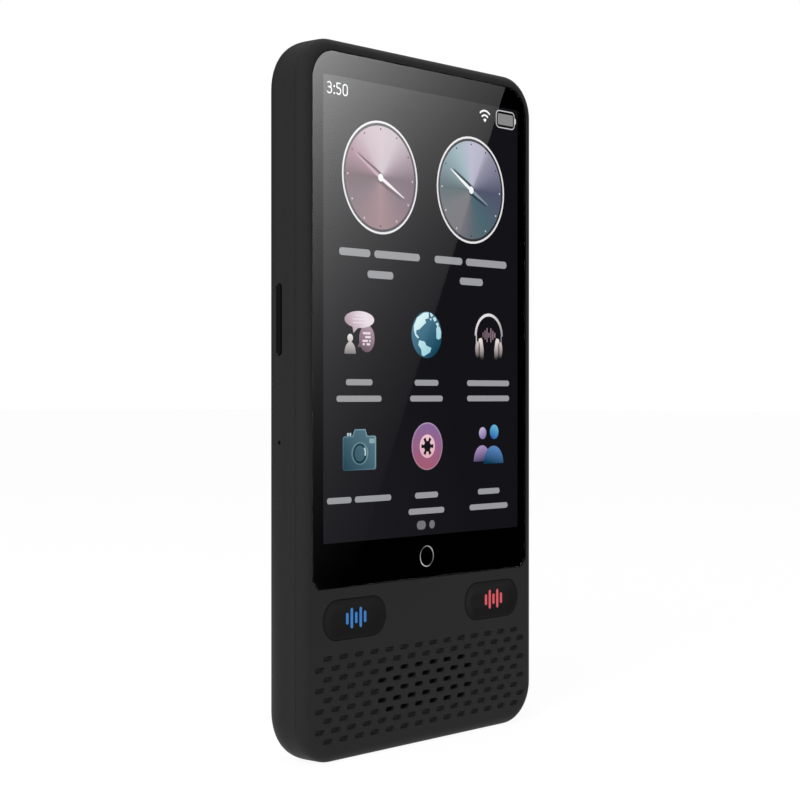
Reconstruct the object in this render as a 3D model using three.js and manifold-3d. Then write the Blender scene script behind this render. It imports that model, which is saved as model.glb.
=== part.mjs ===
// Handheld voice translator: a slab with a touch screen, two talk keys and a speaker grille.
// Millimetres, +Z up. The device stands on its lower end. X runs across the face and -Y is the front.
// The origin is the middle of its outline on the surface that it stands on.
import * as THREE from "three";
import { mergeVertices } from "three/addons/utils/BufferGeometryUtils.js";
import Module from "manifold-3d";

const wasm = await Module();
wasm.setup();

// Housing form
const bodyWidth = 67;
const bodyHeight = 130;
const bodyDepth = 12;
const cornerRadius = 8;
const frontEdgeRadius = 1.95;
const rearSideInset = 6.5; // how far the rear rounding comes in from each long side
const rearSideDepth = 7; // and how far forward it starts
const rearEndInset = 4; // the same at the two ends, where a flat strip is left for the device to stand on
const rearEndDepth = 4;
const rearCornerGrowth = 1; // how much rounder the corners get for what the rear rounding comes in
const leastCornerRadius = 0.4;

// Housing walls and the joint between the two shells
const coverWall = 1.5;
const frontWall = 1.4;
const partingSetback = 0.1; // from the end of the front rounding back to the parting line
const partingGap = 0.12;
const skirtClearance = 0.15; // between the front shell's skirt and the inside of the cover
const skirtWall = 1.2;
const snapLength = 5;
const snapReach = 0.4;
const snapThickness = 0.7;
const snapClearance = 0.15;
const snapEndMargin = 20; // from the ends of a side to its first snap
const ribCount = 3; // stiffening ribs across the inside of the back
const ribWidth = 0.8;
const ribHeight = 0.6;
const ribMargin = 9; // from the sides of the back's flat to the ends of a rib

// Cover glass and its seat
const glassInset = 2.33; // from the side of the body to the glass
const glassBottom = 31.4; // height of the lower edge of the glass
const glassThickness = 0.8;
const glassSink = 0.05;
const glassGap = 0.12;
const glassLowerCut = 1.6; // the clipped lower corners
const adhesiveThickness = 0.15;
const adhesiveSetback = 0.2;

// Display module
const displaySideBorder = 1.95; // from the glass's edge to the display's
const displayTopBorder = 2.4;
const displayBottomBorder = 5.2;
const displayAirGap = 0.25;
const panelThickness = 1.1;
const backlightThickness = 1.1;
const driverLedge = 2.4; // the rear glass stands out below the front glass, for the driver chip
const pocketGap = 0.2;
const pocketCorner = 0.5;
const pocketWall = 1.2;
const floorThickness = 0.85;
const chinLedge = 1; // thickness of the wall behind the glass below the display

// Speaker grille, moulded as one brick pattern of open and blind slots
const grilleRows = 9;
const openRows = 5;
const grilleShare = 0.3656; // height of the middle row, as a share of the chin's
const grilleColumnPitch = 4.18;
const grilleRowPitch = 1.85;
const slotWidth = 2.4;
const slotHeight = 0.85;
const blindSlotDepth = 0.35;
const openReach = 13; // open slots lie within this distance of the middle
const slotMargin = 0.25; // from a blind slot to the start of the edge rounding

// Talk keys
const talkKeyInset = 5; // from the side of the body to the key's recess
const talkKeyShare = 0.8137; // height of the keys, as a share of the chin's
const recessWidth = 17;
const recessHeight = 7.4;
const recessBevel = 0.6;
const recessDepth = 0.4;
const talkKeyGap = 0.15;
const talkKeySink = 0.3; // from the front face to the rim of the key
const talkKeyEdge = 0.25;
const talkKeyDish = 0.25;
const talkKeyRim = 0.7;
const talkFlangeReach = 1.2;
const talkFlangeThickness = 0.6;
const talkFlangeGap = 0.1;
const talkTravel = 0.4;
const talkStemRadius = 1.5;
const talkStemLength = 0.9;

// Wave mark of each talk key: five bars of a clear coloured moulding that carries the stem
const markHeight = 3.9;
const markBarWidth = 0.8;
const markBarPitch = 1.25;
const markBarShares = [0.57, 1, 0.55, 1, 0.57];
const markPlateMargin = 0.8;
const markPlateThickness = 0.5;
const markClearance = 0.05;

// Side keys
const sideKeyDepth = 6.17; // from the front face to the middle of the side keys
const sideSlotWidth = 1.45;
const sideKeyClearance = 0.15;
const sideKeyProud = 0.25;
const sideKeyEdge = 0.2;
const sideFlangeThickness = 0.7;
const sideFlangeReach = 0.5;
const sideFlangeGap = 0.3;
const sideNubLength = 0.4;
const sideNubRadius = 0.5;
const sideKeyTravel = 0.35;
const volumeRise = 14.5; // from the middle of the body's height up to the rocker
const volumeSlotLength = 12.9;
const volumeSwitchOffset = 4; // from the middle of the rocker to each switch
const volumeTravel = 0.14; // at each switch, as the rocker tilts
const powerDrop = 30; // from the top of the body down to the power key
const powerSlotLength = 9;
const resetDrop = 22; // from the rocker down to the reset hole
const resetHoleRadius = 0.4;

// Circuit boards
const boardThickness = 1;
const boardWallGap = 2.6; // from the inside of the cover to the board's edge
const boardCorner = 2;
const mainBoardHeight = 36;
const mainBoardTopGap = 4.5;
const boardLegWidth = 6.5;
const boardLegDrop = 8; // from the reset switch down to the end of the leg
const lowerBoardBottom = 4;
const lowerBoardTopGap = 0.9; // below the lower edge of the glass
const notchClearance = 0.15;
const bossRadius = 2;
const screwInset = 3.2; // from a board's edge to the middle of a screw
const legScrewRise = 4.7; // from the lower end of the leg
const innerBossGap = 0.35; // from the two inner bosses to the talk keys' flanges and the display's cable
const screwRadius = 0.65;
const screwLength = 2.2; // below the head
const screwHeadRadius = 1.3;
const screwHeadHeight = 0.6;
const screwClearance = 0.06;

// Tact switches
const talkSwitchSize = 4.5;
const talkSwitchHeight = 1.4;
const actuatorRadius = 1;
const sideSwitchLength = 4;
const sideSwitchHeight = 1.6;
const sideSwitchDepth = 1.8;
const sideActuatorLength = 0.5;
const sideActuatorWidth = 1.4;
const switchGap = 0.05; // between a pressed key and its switch

// Shields on the main board
const shieldHeight = 1.5;
const shieldWall = 0.2;
const cpuShieldShare = 0.4675; // of the board's width between its leg and the camera
const cpuShieldLength = 20;
const radioShieldShare = 0.3377;
const radioShieldLength = 15;
const shieldSpacing = 3;
const shieldTopGap = 6.4; // below the upper edge of the board

// Battery
const batterySideGap = 3.5; // from the inside of the cover
const batteryBoardGap = 1.2;
const batterySwellGap = 1.2;
const batteryCorner = 1.5;
const batteryDisplayRise = 0.9; // from the lower edge of the display
const protectionHeight = 4; // the strip with the protection circuit, at the top
const protectionStep = 1.2;

// Flat cables
const flexThickness = 0.15;
const boardFlexWidth = 4;
const boardFlexOverlap = 3;
const displayFlexWidth = 12;
const displayFlexOverlap = 3;
const displayFlexDrop = 0.5; // below the display before it turns back
const displayFlexRise = 1.2; // above the lower board when it has turned down again
const flexPassageGap = 0.3;

// Loudspeaker
const meshThickness = 0.15;
const gasketThickness = 0.4;
const speakerWidth = 30;
const speakerHeight = 12.5;
const speakerThickness = 2.2;
const speakerRim = 1.6;
const speakerBack = 0.5;
const coneThickness = 0.25;
const coneGap = 0.2;
const coneRecess = 0.3;
const magnetInset = 2.2; // from the cone's edge
const magnetThickness = 0.55;

// Charging socket, to the common reversible size
const socketWidth = 8.94;
const socketHeight = 3.26;
const socketWall = 0.3;
const socketLength = 7.35;
const socketSink = 0.5;
const socketOpeningGap = 0.15;
const tongueWidth = 6.69;
const tongueThickness = 0.7;
const tongueSink = 0.8; // from the mouth to the tip
const tongueBaseLength = 1.8;

// Microphone
const microphoneWidth = 3.8;
const microphoneHeight = 2.9;
const microphoneThickness = 1;
const microphoneOffset = 13; // from the middle of the body
const microphoneHoleRadius = 0.45;

// Rear camera and flash
const cameraInset = 13.5; // from the side of the body to the middle of the camera
const cameraDrop = 17; // from the top of the body
const cameraModuleSize = 8.5;
const cameraBaseHeight = 3.6;
const cameraBarrelRadius = 3.2;
const cameraBarrelGap = 0.25;
const cameraRingRadius = 5.4;
const cameraRingWidth = 1.3;
const cameraRingDepth = 0.8;
const cameraFitGap = 0.08;
const cameraWindowThickness = 0.6;
const cameraWindowSink = 0.12;
const cameraHoleRadius = 3.4;
const flashDrop = 11; // from the camera down to the flash
const flashRadius = 1.8;
const flashFlange = 0.7;
const flashFlangeThickness = 0.5;
const flashSink = 0.08;
const ledSize = 2.2;
const ledHeight = 0.7;

// Shared allowances
const seatGap = 0.05; // air between a piece and the seat that it rests on
const overrun = 0.5; // how far a cutter runs past what it cuts
const fuse = 0.1; // how far joined forms run into each other
const weldTolerance = 0.001;

// Facets
const cornerFacets = 7;
const frontEdgeFacets = 4;
const rearEdgeFacets = 7;
const stadiumFacets = 8;
const slotFacets = 3;
const holeFacets = 5;
const roundFacets = 24;
const screwFacets = 12;
const dishFacets = 6;

// Depths, from the front face to the back
const frontY = -bodyDepth / 2;
const backY = bodyDepth / 2;
const frontInnerY = frontY + frontWall;
const partingY = frontY + frontEdgeRadius + partingSetback;
const glassFrontY = frontY + glassSink;
const glassBackY = glassFrontY + glassThickness;
const glassSeatY = glassBackY + adhesiveThickness;
const panelFrontY = glassBackY + displayAirGap;
const panelBackY = panelFrontY + panelThickness;
const backlightBackY = panelBackY + backlightThickness;
const floorFrontY = backlightBackY + seatGap;
const floorBackY = floorFrontY + floorThickness;
const sideKeyY = frontY + sideKeyDepth;
const boardFrontY = sideKeyY - boardThickness / 2;
const boardBackY = sideKeyY + boardThickness / 2;
const coverInnerY = backY - coverWall;

// Widths and heights that several pieces share
const halfWidth = bodyWidth / 2;
const coverInnerX = halfWidth - coverWall;
const boardEdgeX = coverInnerX - boardWallGap;
const boardTop = bodyHeight - coverWall - mainBoardTopGap;
const boardLegX = -boardEdgeX + boardLegWidth;
const mainBoardBottom = boardTop - mainBoardHeight;
const volumeHeight = bodyHeight / 2 + volumeRise;
const resetHeight = volumeHeight - resetDrop;
const boardLegBottom = resetHeight - boardLegDrop;
const powerHeight = bodyHeight - powerDrop;
const cameraX = halfWidth - cameraInset;
const cameraHeight = bodyHeight - cameraDrop;
const cameraNotchX = cameraX - cameraModuleSize / 2 - notchClearance;
const lowerBoardTop = glassBottom - lowerBoardTopGap;
const glassHalfWidth = halfWidth - glassInset;
const glassTop = bodyHeight - glassInset;
const glassRadius = cornerRadius - glassInset;
const displayHalfWidth = glassHalfWidth - displaySideBorder;
const displayTop = glassTop - displayTopBorder;
const displayBottom = glassBottom + displayBottomBorder;
const batteryBottom = displayBottom + batteryDisplayRise;
const grilleHeight = glassBottom * grilleShare;
const talkKeyHeight = glassBottom * talkKeyShare;
const talkKeyX = halfWidth - talkKeyInset - recessWidth / 2;
const openingWidth = recessWidth - 2 * recessBevel;
const openingHeight = recessHeight - 2 * recessBevel;
const lowerCavityTop = glassBottom - glassGap;
const talkFlangeHalf = openingWidth / 2 - talkKeyGap + talkFlangeReach;
const innerScrewX = talkKeyX - talkFlangeHalf - innerBossGap - bossRadius;
const innerScrewZ = lowerBoardTop - displayFlexOverlap - innerBossGap - bossRadius;

// Materials
const paint = (colour, roughness, metalness = 0) =>
  new THREE.MeshStandardMaterial({ color: colour, roughness, metalness });
const materials = {
  housing: paint("#2b2b2c", 0.55),
  key: paint("#1c1c1d", 0.5),
  sideKey: paint("#141415", 0.3),
  glass: paint("#050506", 0.04),
  clearGlass: paint("#20262b", 0.05),
  adhesive: paint("#101010", 0.9),
  panel: paint("#0b0c10", 0.2),
  sheetSteel: paint("#b9bbbd", 0.35, 1),
  board: paint("#17482f", 0.6),
  flex: paint("#9a5a1c", 0.5),
  battery: paint("#3b3f46", 0.5),
  blueLens: paint("#2f8fe0", 0.35),
  redLens: paint("#f0525e", 0.35),
  blackPlastic: paint("#101011", 0.6),
  mesh: paint("#0a0a0a", 0.95),
  foam: paint("#1a1a1a", 1),
  cone: paint("#26262a", 0.7),
  magnet: paint("#77797c", 0.4, 1),
  diffuser: paint("#e9e6d8", 0.4),
  led: paint("#f2dc6a", 0.4),
};

// A closed three.js geometry as a solid that can be joined and cut.
function solidOf(geometry) {
  const source = geometry.index ? geometry.toNonIndexed() : geometry;
  const bare = new THREE.BufferGeometry().setAttribute("position", source.getAttribute("position"));
  const welded = mergeVertices(bare, weldTolerance);
  return new wasm.Manifold(
    new wasm.Mesh({
      numProp: 3,
      vertProperties: welded.attributes.position.array,
      triVerts: new Uint32Array(welded.index.array),
    }),
  );
}

function geometryOf(solid) {
  const mesh = solid.getMesh();
  return new THREE.BufferGeometry()
    .setAttribute("position", new THREE.BufferAttribute(Float32Array.from(mesh.vertProperties), 3))
    .setIndex(new THREE.BufferAttribute(Uint32Array.from(mesh.triVerts), 1));
}

const union = (solids) => wasm.Manifold.union(solids);

function box(x0, x1, y0, y1, z0, z1) {
  const geometry = new THREE.BoxGeometry(x1 - x0, y1 - y0, z1 - z0);
  geometry.translate((x0 + x1) / 2, (y0 + y1) / 2, (z0 + z1) / 2);
  return solidOf(geometry);
}

// An outline drawn in X and Z, carried from y0 back to y1.
function prismY(shape, y0, y1, facets = stadiumFacets) {
  const geometry = new THREE.ExtrudeGeometry(shape, {
    depth: y1 - y0,
    bevelEnabled: false,
    curveSegments: facets,
  });
  geometry.rotateX(Math.PI / 2);
  geometry.translate(0, y1, 0);
  return solidOf(geometry);
}

// An outline drawn in X and Y, carried up from z0 to z1.
function prismZ(shape, z0, z1, facets = stadiumFacets) {
  const geometry = new THREE.ExtrudeGeometry(shape, {
    depth: z1 - z0,
    bevelEnabled: false,
    curveSegments: facets,
  });
  geometry.translate(0, 0, z0);
  return solidOf(geometry);
}

// An outline drawn in Y and Z, carried across from x0 to x1.
function prismX(shape, x0, x1, facets = stadiumFacets) {
  const geometry = new THREE.ExtrudeGeometry(shape, {
    depth: x1 - x0,
    bevelEnabled: false,
    curveSegments: facets,
  });
  const axes = new THREE.Matrix4().makeBasis(
    new THREE.Vector3(0, 1, 0),
    new THREE.Vector3(0, 0, 1),
    new THREE.Vector3(1, 0, 0),
  );
  geometry.applyMatrix4(axes);
  geometry.translate(x0, 0, 0);
  return solidOf(geometry);
}

// A rectangle with round corners about a middle point.
function roundedRectangle(width, height, radius, centreX = 0, centreY = 0) {
  const r = Math.min(radius, width / 2, height / 2);
  const [x0, x1] = [centreX - width / 2, centreX + width / 2];
  const [y0, y1] = [centreY - height / 2, centreY + height / 2];
  const shape = new THREE.Shape();
  shape.moveTo(x0 + r, y0);
  shape.lineTo(x1 - r, y0);
  shape.absarc(x1 - r, y0 + r, r, -Math.PI / 2, 0);
  shape.lineTo(x1, y1 - r);
  shape.absarc(x1 - r, y1 - r, r, 0, Math.PI / 2);
  shape.lineTo(x0 + r, y1);
  shape.absarc(x0 + r, y1 - r, r, Math.PI / 2, Math.PI);
  shape.lineTo(x0, y0 + r);
  shape.absarc(x0 + r, y0 + r, r, Math.PI, Math.PI * 1.5);
  return shape;
}

function circle(radius, centreX = 0, centreY = 0) {
  return new THREE.Shape().absarc(centreX, centreY, radius, 0, Math.PI * 2);
}

// The points of a stadium, whose longer size may run either way.
function stadiumPoints(width, height, facets = stadiumFacets) {
  const radius = Math.min(width, height) / 2;
  const [reachX, reachY] = [width / 2 - radius, height / 2 - radius];
  const upright = height > width;
  const points = [];
  for (const half of [0, 1]) {
    const start = upright ? half * Math.PI : half * Math.PI - Math.PI / 2;
    const sign = half ? -1 : 1;
    for (let i = 0; i <= facets; i++) {
      const angle = start + (Math.PI * i) / facets;
      points.push([
        sign * reachX + radius * Math.cos(angle),
        sign * reachY + radius * Math.sin(angle),
      ]);
    }
  }
  return points;
}

function shapeOf(points, centreX = 0, centreY = 0) {
  return new THREE.Shape(points.map(([x, y]) => new THREE.Vector2(x + centreX, y + centreY)));
}

// Rings of equally many points, each wound the same way, skinned and capped. The caps are convex.
function loft(rings) {
  const count = rings[0].length;
  const middles = [rings[0], rings[rings.length - 1]].map((ring) =>
    ring.reduce((sum, p) => sum.add(p), new THREE.Vector3()).divideScalar(count),
  );
  const points = [...rings.flat(), ...middles];
  const faces = [];
  for (let r = 0; r + 1 < rings.length; r++)
    for (let i = 0; i < count; i++) {
      const [a, b] = [r * count + i, r * count + ((i + 1) % count)];
      faces.push(a, b, b + count, a, b + count, a + count);
    }
  const last = (rings.length - 1) * count;
  for (let i = 0; i < count; i++) {
    const next = (i + 1) % count;
    faces.push(points.length - 2, next, i);
    faces.push(points.length - 1, last + i, last + next);
  }
  const geometry = new THREE.BufferGeometry().setFromPoints(points).setIndex(faces);
  return solidOf(geometry);
}

const ringAtY = (points, y, centreX = 0, centreZ = 0) =>
  points.map(([x, z]) => new THREE.Vector3(x + centreX, y, -z + centreZ));
const ringAtX = (points, x, centreY = 0, centreZ = 0) =>
  points.map(([y, z]) => new THREE.Vector3(x, y + centreY, z + centreZ));

// A solid of revolution about the Y axis, from [radius, y] steps along its outside.
function revolve(steps, facets = roundFacets) {
  const profile = steps.map(([radius, y]) => new THREE.Vector2(radius, y));
  return solidOf(new THREE.LatheGeometry(profile, facets));
}

function disc(radius, y0, y1, facets = roundFacets) {
  return revolve([[0, y0], [radius, y0], [radius, y1], [0, y1]], facets);
}

// How far a quarter ellipse has come in at a distance past its start.
function roundingInset(past, inset, depth) {
  const share = Math.min(Math.max(past / depth, 0), 1);
  return inset * (1 - Math.sqrt(1 - share * share));
}

// The outline of the housing at one depth, shrunk by an equal amount on the sides, ends and back.
function bodyRing(y, shrink, frontInset) {
  const rearY = backY - shrink;
  const [sideA, sideB] = [rearSideInset - shrink, rearSideDepth - shrink];
  const [endA, endB] = [rearEndInset - shrink, rearEndDepth - shrink];
  const side = frontInset + roundingInset(y - (rearY - sideB), sideA, sideB);
  const end = frontInset + roundingInset(y - (rearY - endB), endA, endB);
  const radius = Math.max(cornerRadius - shrink - frontInset, leastCornerRadius);
  const radiusX = radius + rearCornerGrowth * (side - frontInset);
  const radiusZ = radius + rearCornerGrowth * (end - frontInset);
  const reachX = halfWidth - shrink - side - radiusX;
  const reachZ = bodyHeight / 2 - shrink - end - radiusZ;
  const ring = [];
  for (let quarter = 0; quarter < 4; quarter++) {
    const signX = quarter === 0 || quarter === 3 ? 1 : -1;
    const signZ = quarter < 2 ? -1 : 1;
    for (let i = 0; i <= cornerFacets; i++) {
      const angle = ((quarter + i / cornerFacets) * Math.PI) / 2;
      ring.push(
        new THREE.Vector3(
          signX * reachX + radiusX * Math.cos(angle),
          y,
          bodyHeight / 2 + signZ * reachZ - radiusZ * Math.sin(angle),
        ),
      );
    }
  }
  return ring;
}

// The whole housing form: small front rounding, straight sides and a long pillowed rear rounding.
function bodyForm(shrink = 0) {
  const radius = Math.max(frontEdgeRadius - shrink, leastCornerRadius);
  const rings = [];
  for (let i = 0; i <= frontEdgeFacets; i++) {
    const angle = ((i / frontEdgeFacets) * Math.PI) / 2;
    rings.push(bodyRing(frontY + radius * (1 - Math.cos(angle)), shrink, radius * (1 - Math.sin(angle))));
  }
  const depth = rearSideDepth - shrink;
  for (let i = 0; i <= rearEdgeFacets; i++) {
    const angle = ((i / rearEdgeFacets) * Math.PI) / 2;
    rings.push(bodyRing(backY - shrink - depth * (1 - Math.sin(angle)), shrink, 0));
  }
  return loft(rings);
}

function between(solid, y0, y1, z0 = -overrun, z1 = bodyHeight + overrun) {
  return solid.intersect(box(-bodyWidth, bodyWidth, y0, y1, z0, z1));
}

// The cover glass outline: round upper corners, clipped lower ones, grown or shrunk by an offset.
function glassShape(offset = 0) {
  const [x, top, bottom] = [glassHalfWidth + offset, glassTop + offset, glassBottom - offset];
  const radius = glassRadius + offset;
  const shape = new THREE.Shape();
  shape.moveTo(-x + glassLowerCut, bottom);
  shape.lineTo(x - glassLowerCut, bottom);
  shape.lineTo(x, bottom + glassLowerCut);
  shape.lineTo(x, top - radius);
  shape.absarc(x - radius, top - radius, radius, 0, Math.PI / 2);
  shape.lineTo(-x + radius, top);
  shape.absarc(-x + radius, top - radius, radius, Math.PI / 2, Math.PI);
  shape.lineTo(-x, bottom + glassLowerCut);
  return shape;
}

// Middles of the grille's slots: rows of a brick pattern, as far as the flat of the front goes.
function grilleSlots() {
  const flatX = halfWidth - frontEdgeRadius - slotMargin;
  const flatRadius = cornerRadius - frontEdgeRadius - slotMargin;
  const flatLow = frontEdgeRadius + slotMargin;
  const onFlat = (x, z) => {
    const [endX, endZ] = [Math.abs(x) + slotWidth / 2, z - slotHeight / 2];
    const [pastX, pastZ] = [endX - (flatX - flatRadius), flatLow + flatRadius - endZ];
    return endX <= flatX && (pastX <= 0 || pastZ <= 0 || Math.hypot(pastX, pastZ) <= flatRadius);
  };
  const slots = [];
  for (let row = 0; row < grilleRows; row++) {
    const fromMiddle = row - (grilleRows - 1) / 2;
    const z = grilleHeight + fromMiddle * grilleRowPitch;
    const shift = fromMiddle % 2 === 0 ? 0.5 : 0;
    const reach = Math.ceil(bodyWidth / grilleColumnPitch);
    for (let column = -reach; column <= reach; column++) {
      const x = (column + shift) * grilleColumnPitch;
      const open = Math.abs(fromMiddle) <= (openRows - 1) / 2 && Math.abs(x) <= openReach;
      if (onFlat(x, z)) slots.push({ x, z, open });
    }
  }
  return slots;
}

// Where the screws go, by board, on bosses that rise from the front shell.
const mainScrews = [
  [-boardEdgeX + screwInset, boardTop - screwInset],
  [boardEdgeX - screwInset, boardTop - screwInset],
  [boardEdgeX - screwInset, mainBoardBottom + screwInset],
  [-boardEdgeX + boardLegWidth / 2, boardLegBottom + legScrewRise],
];
const lowerScrews = [
  [-boardEdgeX + screwInset, lowerBoardBottom + screwInset],
  [boardEdgeX - screwInset, lowerBoardBottom + screwInset],
  [-innerScrewX, innerScrewZ],
  [innerScrewX, innerScrewZ],
];

// A boss that rises from the front shell to a board, and the pilot hole that its screw bites into.
const screwBoss = ([x, z], baseY) =>
  disc(bossRadius, baseY - fuse, boardFrontY - seatGap, screwFacets).translate(x, 0, z);
const screwPilot = ([x, z]) =>
  disc(screwRadius + screwClearance, boardBackY - screwLength - screwClearance, boardFrontY, screwFacets)
    .translate(x, 0, z);

// Front shell: bezel, key recesses, grille, the tray for the display and the skirt inside the cover.
function frontHousing() {
  const skirtInset = coverWall + skirtClearance;
  const rim = between(bodyForm(), frontY - overrun, partingY);
  const skirt = between(bodyForm(skirtInset), partingY - fuse, floorBackY);
  const cavity = bodyForm(skirtInset + skirtWall);
  const chinTop = displayBottom - pocketGap - pocketWall;
  const pocket = roundedRectangle(
    2 * (displayHalfWidth + pocketGap),
    displayTop - displayBottom + 2 * pocketGap,
    pocketCorner,
    0,
    (displayTop + displayBottom) / 2,
  );
  const flexHalf = displayFlexWidth / 2 + flexPassageGap;
  const hollow = [
    prismY(glassShape(glassGap), frontY - overrun, glassSeatY),
    prismY(pocket, glassSeatY - fuse, floorFrontY),
    between(cavity, frontInnerY, floorBackY + overrun, -overrun, lowerCavityTop),
    between(cavity, glassSeatY + chinLedge, floorBackY + overrun, lowerCavityTop - fuse, chinTop),
    box(-flexHalf, flexHalf, glassSeatY - fuse, floorBackY + overrun, chinTop - fuse, displayBottom),
  ];
  const bosses = [
    ...mainScrews.map((place) => screwBoss(place, floorBackY)),
    ...lowerScrews.map((place) => screwBoss(place, frontInnerY)),
  ];
  const pilots = [...mainScrews, ...lowerScrews].map(screwPilot);
  const slots = grilleSlots().map(({ x, z, open }) =>
    prismY(
      shapeOf(stadiumPoints(slotWidth, slotHeight, slotFacets), x, z),
      frontY - overrun,
      open ? frontInnerY + overrun : frontY + blindSlotDepth,
    ),
  );
  const recesses = [-1, 1].map((side) => talkKeyOpening(side * talkKeyX));
  return union([rim, skirt])
    .subtract(union(hollow))
    .add(union([...bosses, ...snapBlocks(-fuse, 0)]))
    .subtract(union([...pilots, ...slots, ...recesses]));
}

// The bevelled recess of a talk key and the opening at its bottom.
function talkKeyOpening(x) {
  const outer = stadiumPoints(recessWidth, recessHeight);
  const inner = stadiumPoints(openingWidth, openingHeight);
  return loft([
    ringAtY(outer, frontY - overrun, x, talkKeyHeight),
    ringAtY(outer, frontY, x, talkKeyHeight),
    ringAtY(inner, frontY + recessDepth, x, talkKeyHeight),
    ringAtY(inner, frontInnerY + overrun, x, talkKeyHeight),
  ]);
}

// A block at each snap: the hooks on the skirt or, with a clearance, the pockets that take them.
// The root is where a block starts, outwards from the face of the skirt.
function snapBlocks(root, clearance) {
  const skirtX = halfWidth - coverWall - skirtClearance;
  const middleY = (partingY + partingGap + floorBackY) / 2;
  const [y0, y1] = [middleY - snapThickness / 2 - clearance, middleY + snapThickness / 2 + clearance];
  const half = snapLength / 2 + clearance;
  const reach = snapReach + clearance;
  const solids = [];
  for (const side of [-1, 1]) {
    for (const share of [0, 1 / 3, 2 / 3, 1]) {
      const z = snapEndMargin + share * (bodyHeight - 2 * snapEndMargin);
      const [a, b] = [side * (skirtX + root), side * (skirtX + reach)];
      solids.push(box(Math.min(a, b), Math.max(a, b), y0, y1, z - half, z + half));
    }
    for (const across of [-1, 1]) {
      const x = (across * (bodyWidth - 2 * snapEndMargin)) / 2;
      const top = bodyHeight - coverWall - skirtClearance;
      const [a, b] = [top + root, top + reach];
      const [z0, z1] = side > 0 ? [a, b] : [bodyHeight - b, bodyHeight - a];
      solids.push(box(x - half, x + half, y0, y1, z0, z1));
    }
  }
  return solids;
}

// Rear shell: back and sides in one, with every opening for keys, socket, microphone and camera.
function rearCover() {
  const outer = between(bodyForm(), partingY + partingGap, backY + overrun);
  const inner = between(bodyForm(coverWall), frontY, backY + overrun);
  const flatHalf = halfWidth - rearSideInset - ribMargin;
  const [ribY, ribHalf] = [coverInnerY - ribHeight, ribWidth / 2];
  const ribs = [];
  for (let row = 1; row <= ribCount; row++) {
    const z = (bodyHeight * row) / (ribCount + 1);
    ribs.push(box(-flatHalf, flatHalf, ribY, coverInnerY + fuse, z - ribHalf, z + ribHalf));
  }
  const through = [
    ...snapBlocks(skirtClearance - fuse, snapClearance),
    sideOpening(-1, volumeHeight, volumeSlotLength),
    sideOpening(1, powerHeight, powerSlotLength),
    prismX(
      circle(resetHoleRadius, sideKeyY, resetHeight),
      -halfWidth - overrun, -coverInnerX + overrun, holeFacets,
    ),
    prismZ(socketShape(-socketOpeningGap), -overrun, coverWall + overrun),
    prismZ(
      circle(microphoneHoleRadius, -microphoneOffset, microphoneY),
      -overrun, coverWall + overrun, holeFacets,
    ),
    disc(cameraHoleRadius, coverInnerY - overrun, backY).translate(cameraX, 0, cameraHeight),
    disc(cameraRingRadius + cameraFitGap, backY - cameraRingDepth - cameraFitGap, backY + overrun)
      .translate(cameraX, 0, cameraHeight),
    disc(flashRadius + cameraFitGap, coverInnerY - overrun, backY + overrun)
      .translate(cameraX, 0, cameraHeight - flashDrop),
  ];
  return outer.subtract(inner).add(union(ribs)).subtract(union(through));
}

// The slot of a side key, with the flat seat that its flange needs inside the curved wall.
function sideOpening(side, z, length) {
  const slot = prismX(
    shapeOf(stadiumPoints(sideSlotWidth, length), sideKeyY, z),
    coverInnerX - overrun,
    halfWidth + overrun,
  );
  const halfY = sideSlotWidth / 2 + sideFlangeReach + sideKeyClearance;
  const halfZ = length / 2 + sideFlangeReach + sideKeyClearance;
  const [y0, y1] = [sideKeyY - halfY, sideKeyY + halfY];
  const seat = box(coverInnerX - coverWall, coverInnerX, y0, y1, z - halfZ, z + halfZ);
  const opening = slot.add(seat);
  return side > 0 ? opening : opening.mirror([1, 0, 0]);
}

// A side key: a slim tongue through the wall, a flange behind it and a nub for each switch.
// It is drawn at its own middle, with the outside of the body towards +X.
function sideKey(length, nubs) {
  const tongueWidth = sideSlotWidth - 2 * sideKeyClearance;
  const tongueLength = length - 2 * sideKeyClearance;
  const faceX = coverWall + sideKeyProud;
  const narrow = stadiumPoints(tongueWidth - 2 * sideKeyEdge, tongueLength - 2 * sideKeyEdge);
  const full = stadiumPoints(tongueWidth, tongueLength);
  const tongue = loft([
    ringAtX(full, -sideFlangeGap - fuse),
    ringAtX(full, faceX - sideKeyEdge),
    ringAtX(narrow, faceX),
  ]);
  const flangeHalfY = tongueWidth / 2 + sideFlangeReach;
  const flangeHalfZ = tongueLength / 2 + sideFlangeReach;
  const flange = box(
    -sideFlangeGap - sideFlangeThickness, -sideFlangeGap,
    -flangeHalfY, flangeHalfY,
    -flangeHalfZ, flangeHalfZ,
  );
  const nubX = -sideFlangeGap - sideFlangeThickness;
  const pads = nubs.map((z) =>
    prismX(circle(sideNubRadius, 0, z), nubX - sideNubLength, nubX + fuse, holeFacets),
  );
  return union([tongue, flange, ...pads]);
}

// A side tact switch, sunk into a notch of the board, with its actuator towards +X.
// The actuator stops just short of where the key's nub gets to.
const sideActuatorX = (travel) =>
  -sideFlangeGap - sideFlangeThickness - sideNubLength - travel - switchGap;
function sideSwitch(travel) {
  const faceX = sideActuatorX(travel) - sideActuatorLength;
  const [halfY, halfZ] = [sideSwitchHeight / 2, sideSwitchLength / 2];
  const half = sideActuatorWidth / 2;
  return union([
    box(faceX - sideSwitchDepth, faceX, -halfY, halfY, -halfZ, halfZ),
    box(faceX - fuse, faceX + sideActuatorLength, -halfY / 2, halfY / 2, -half, half),
  ]);
}

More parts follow.
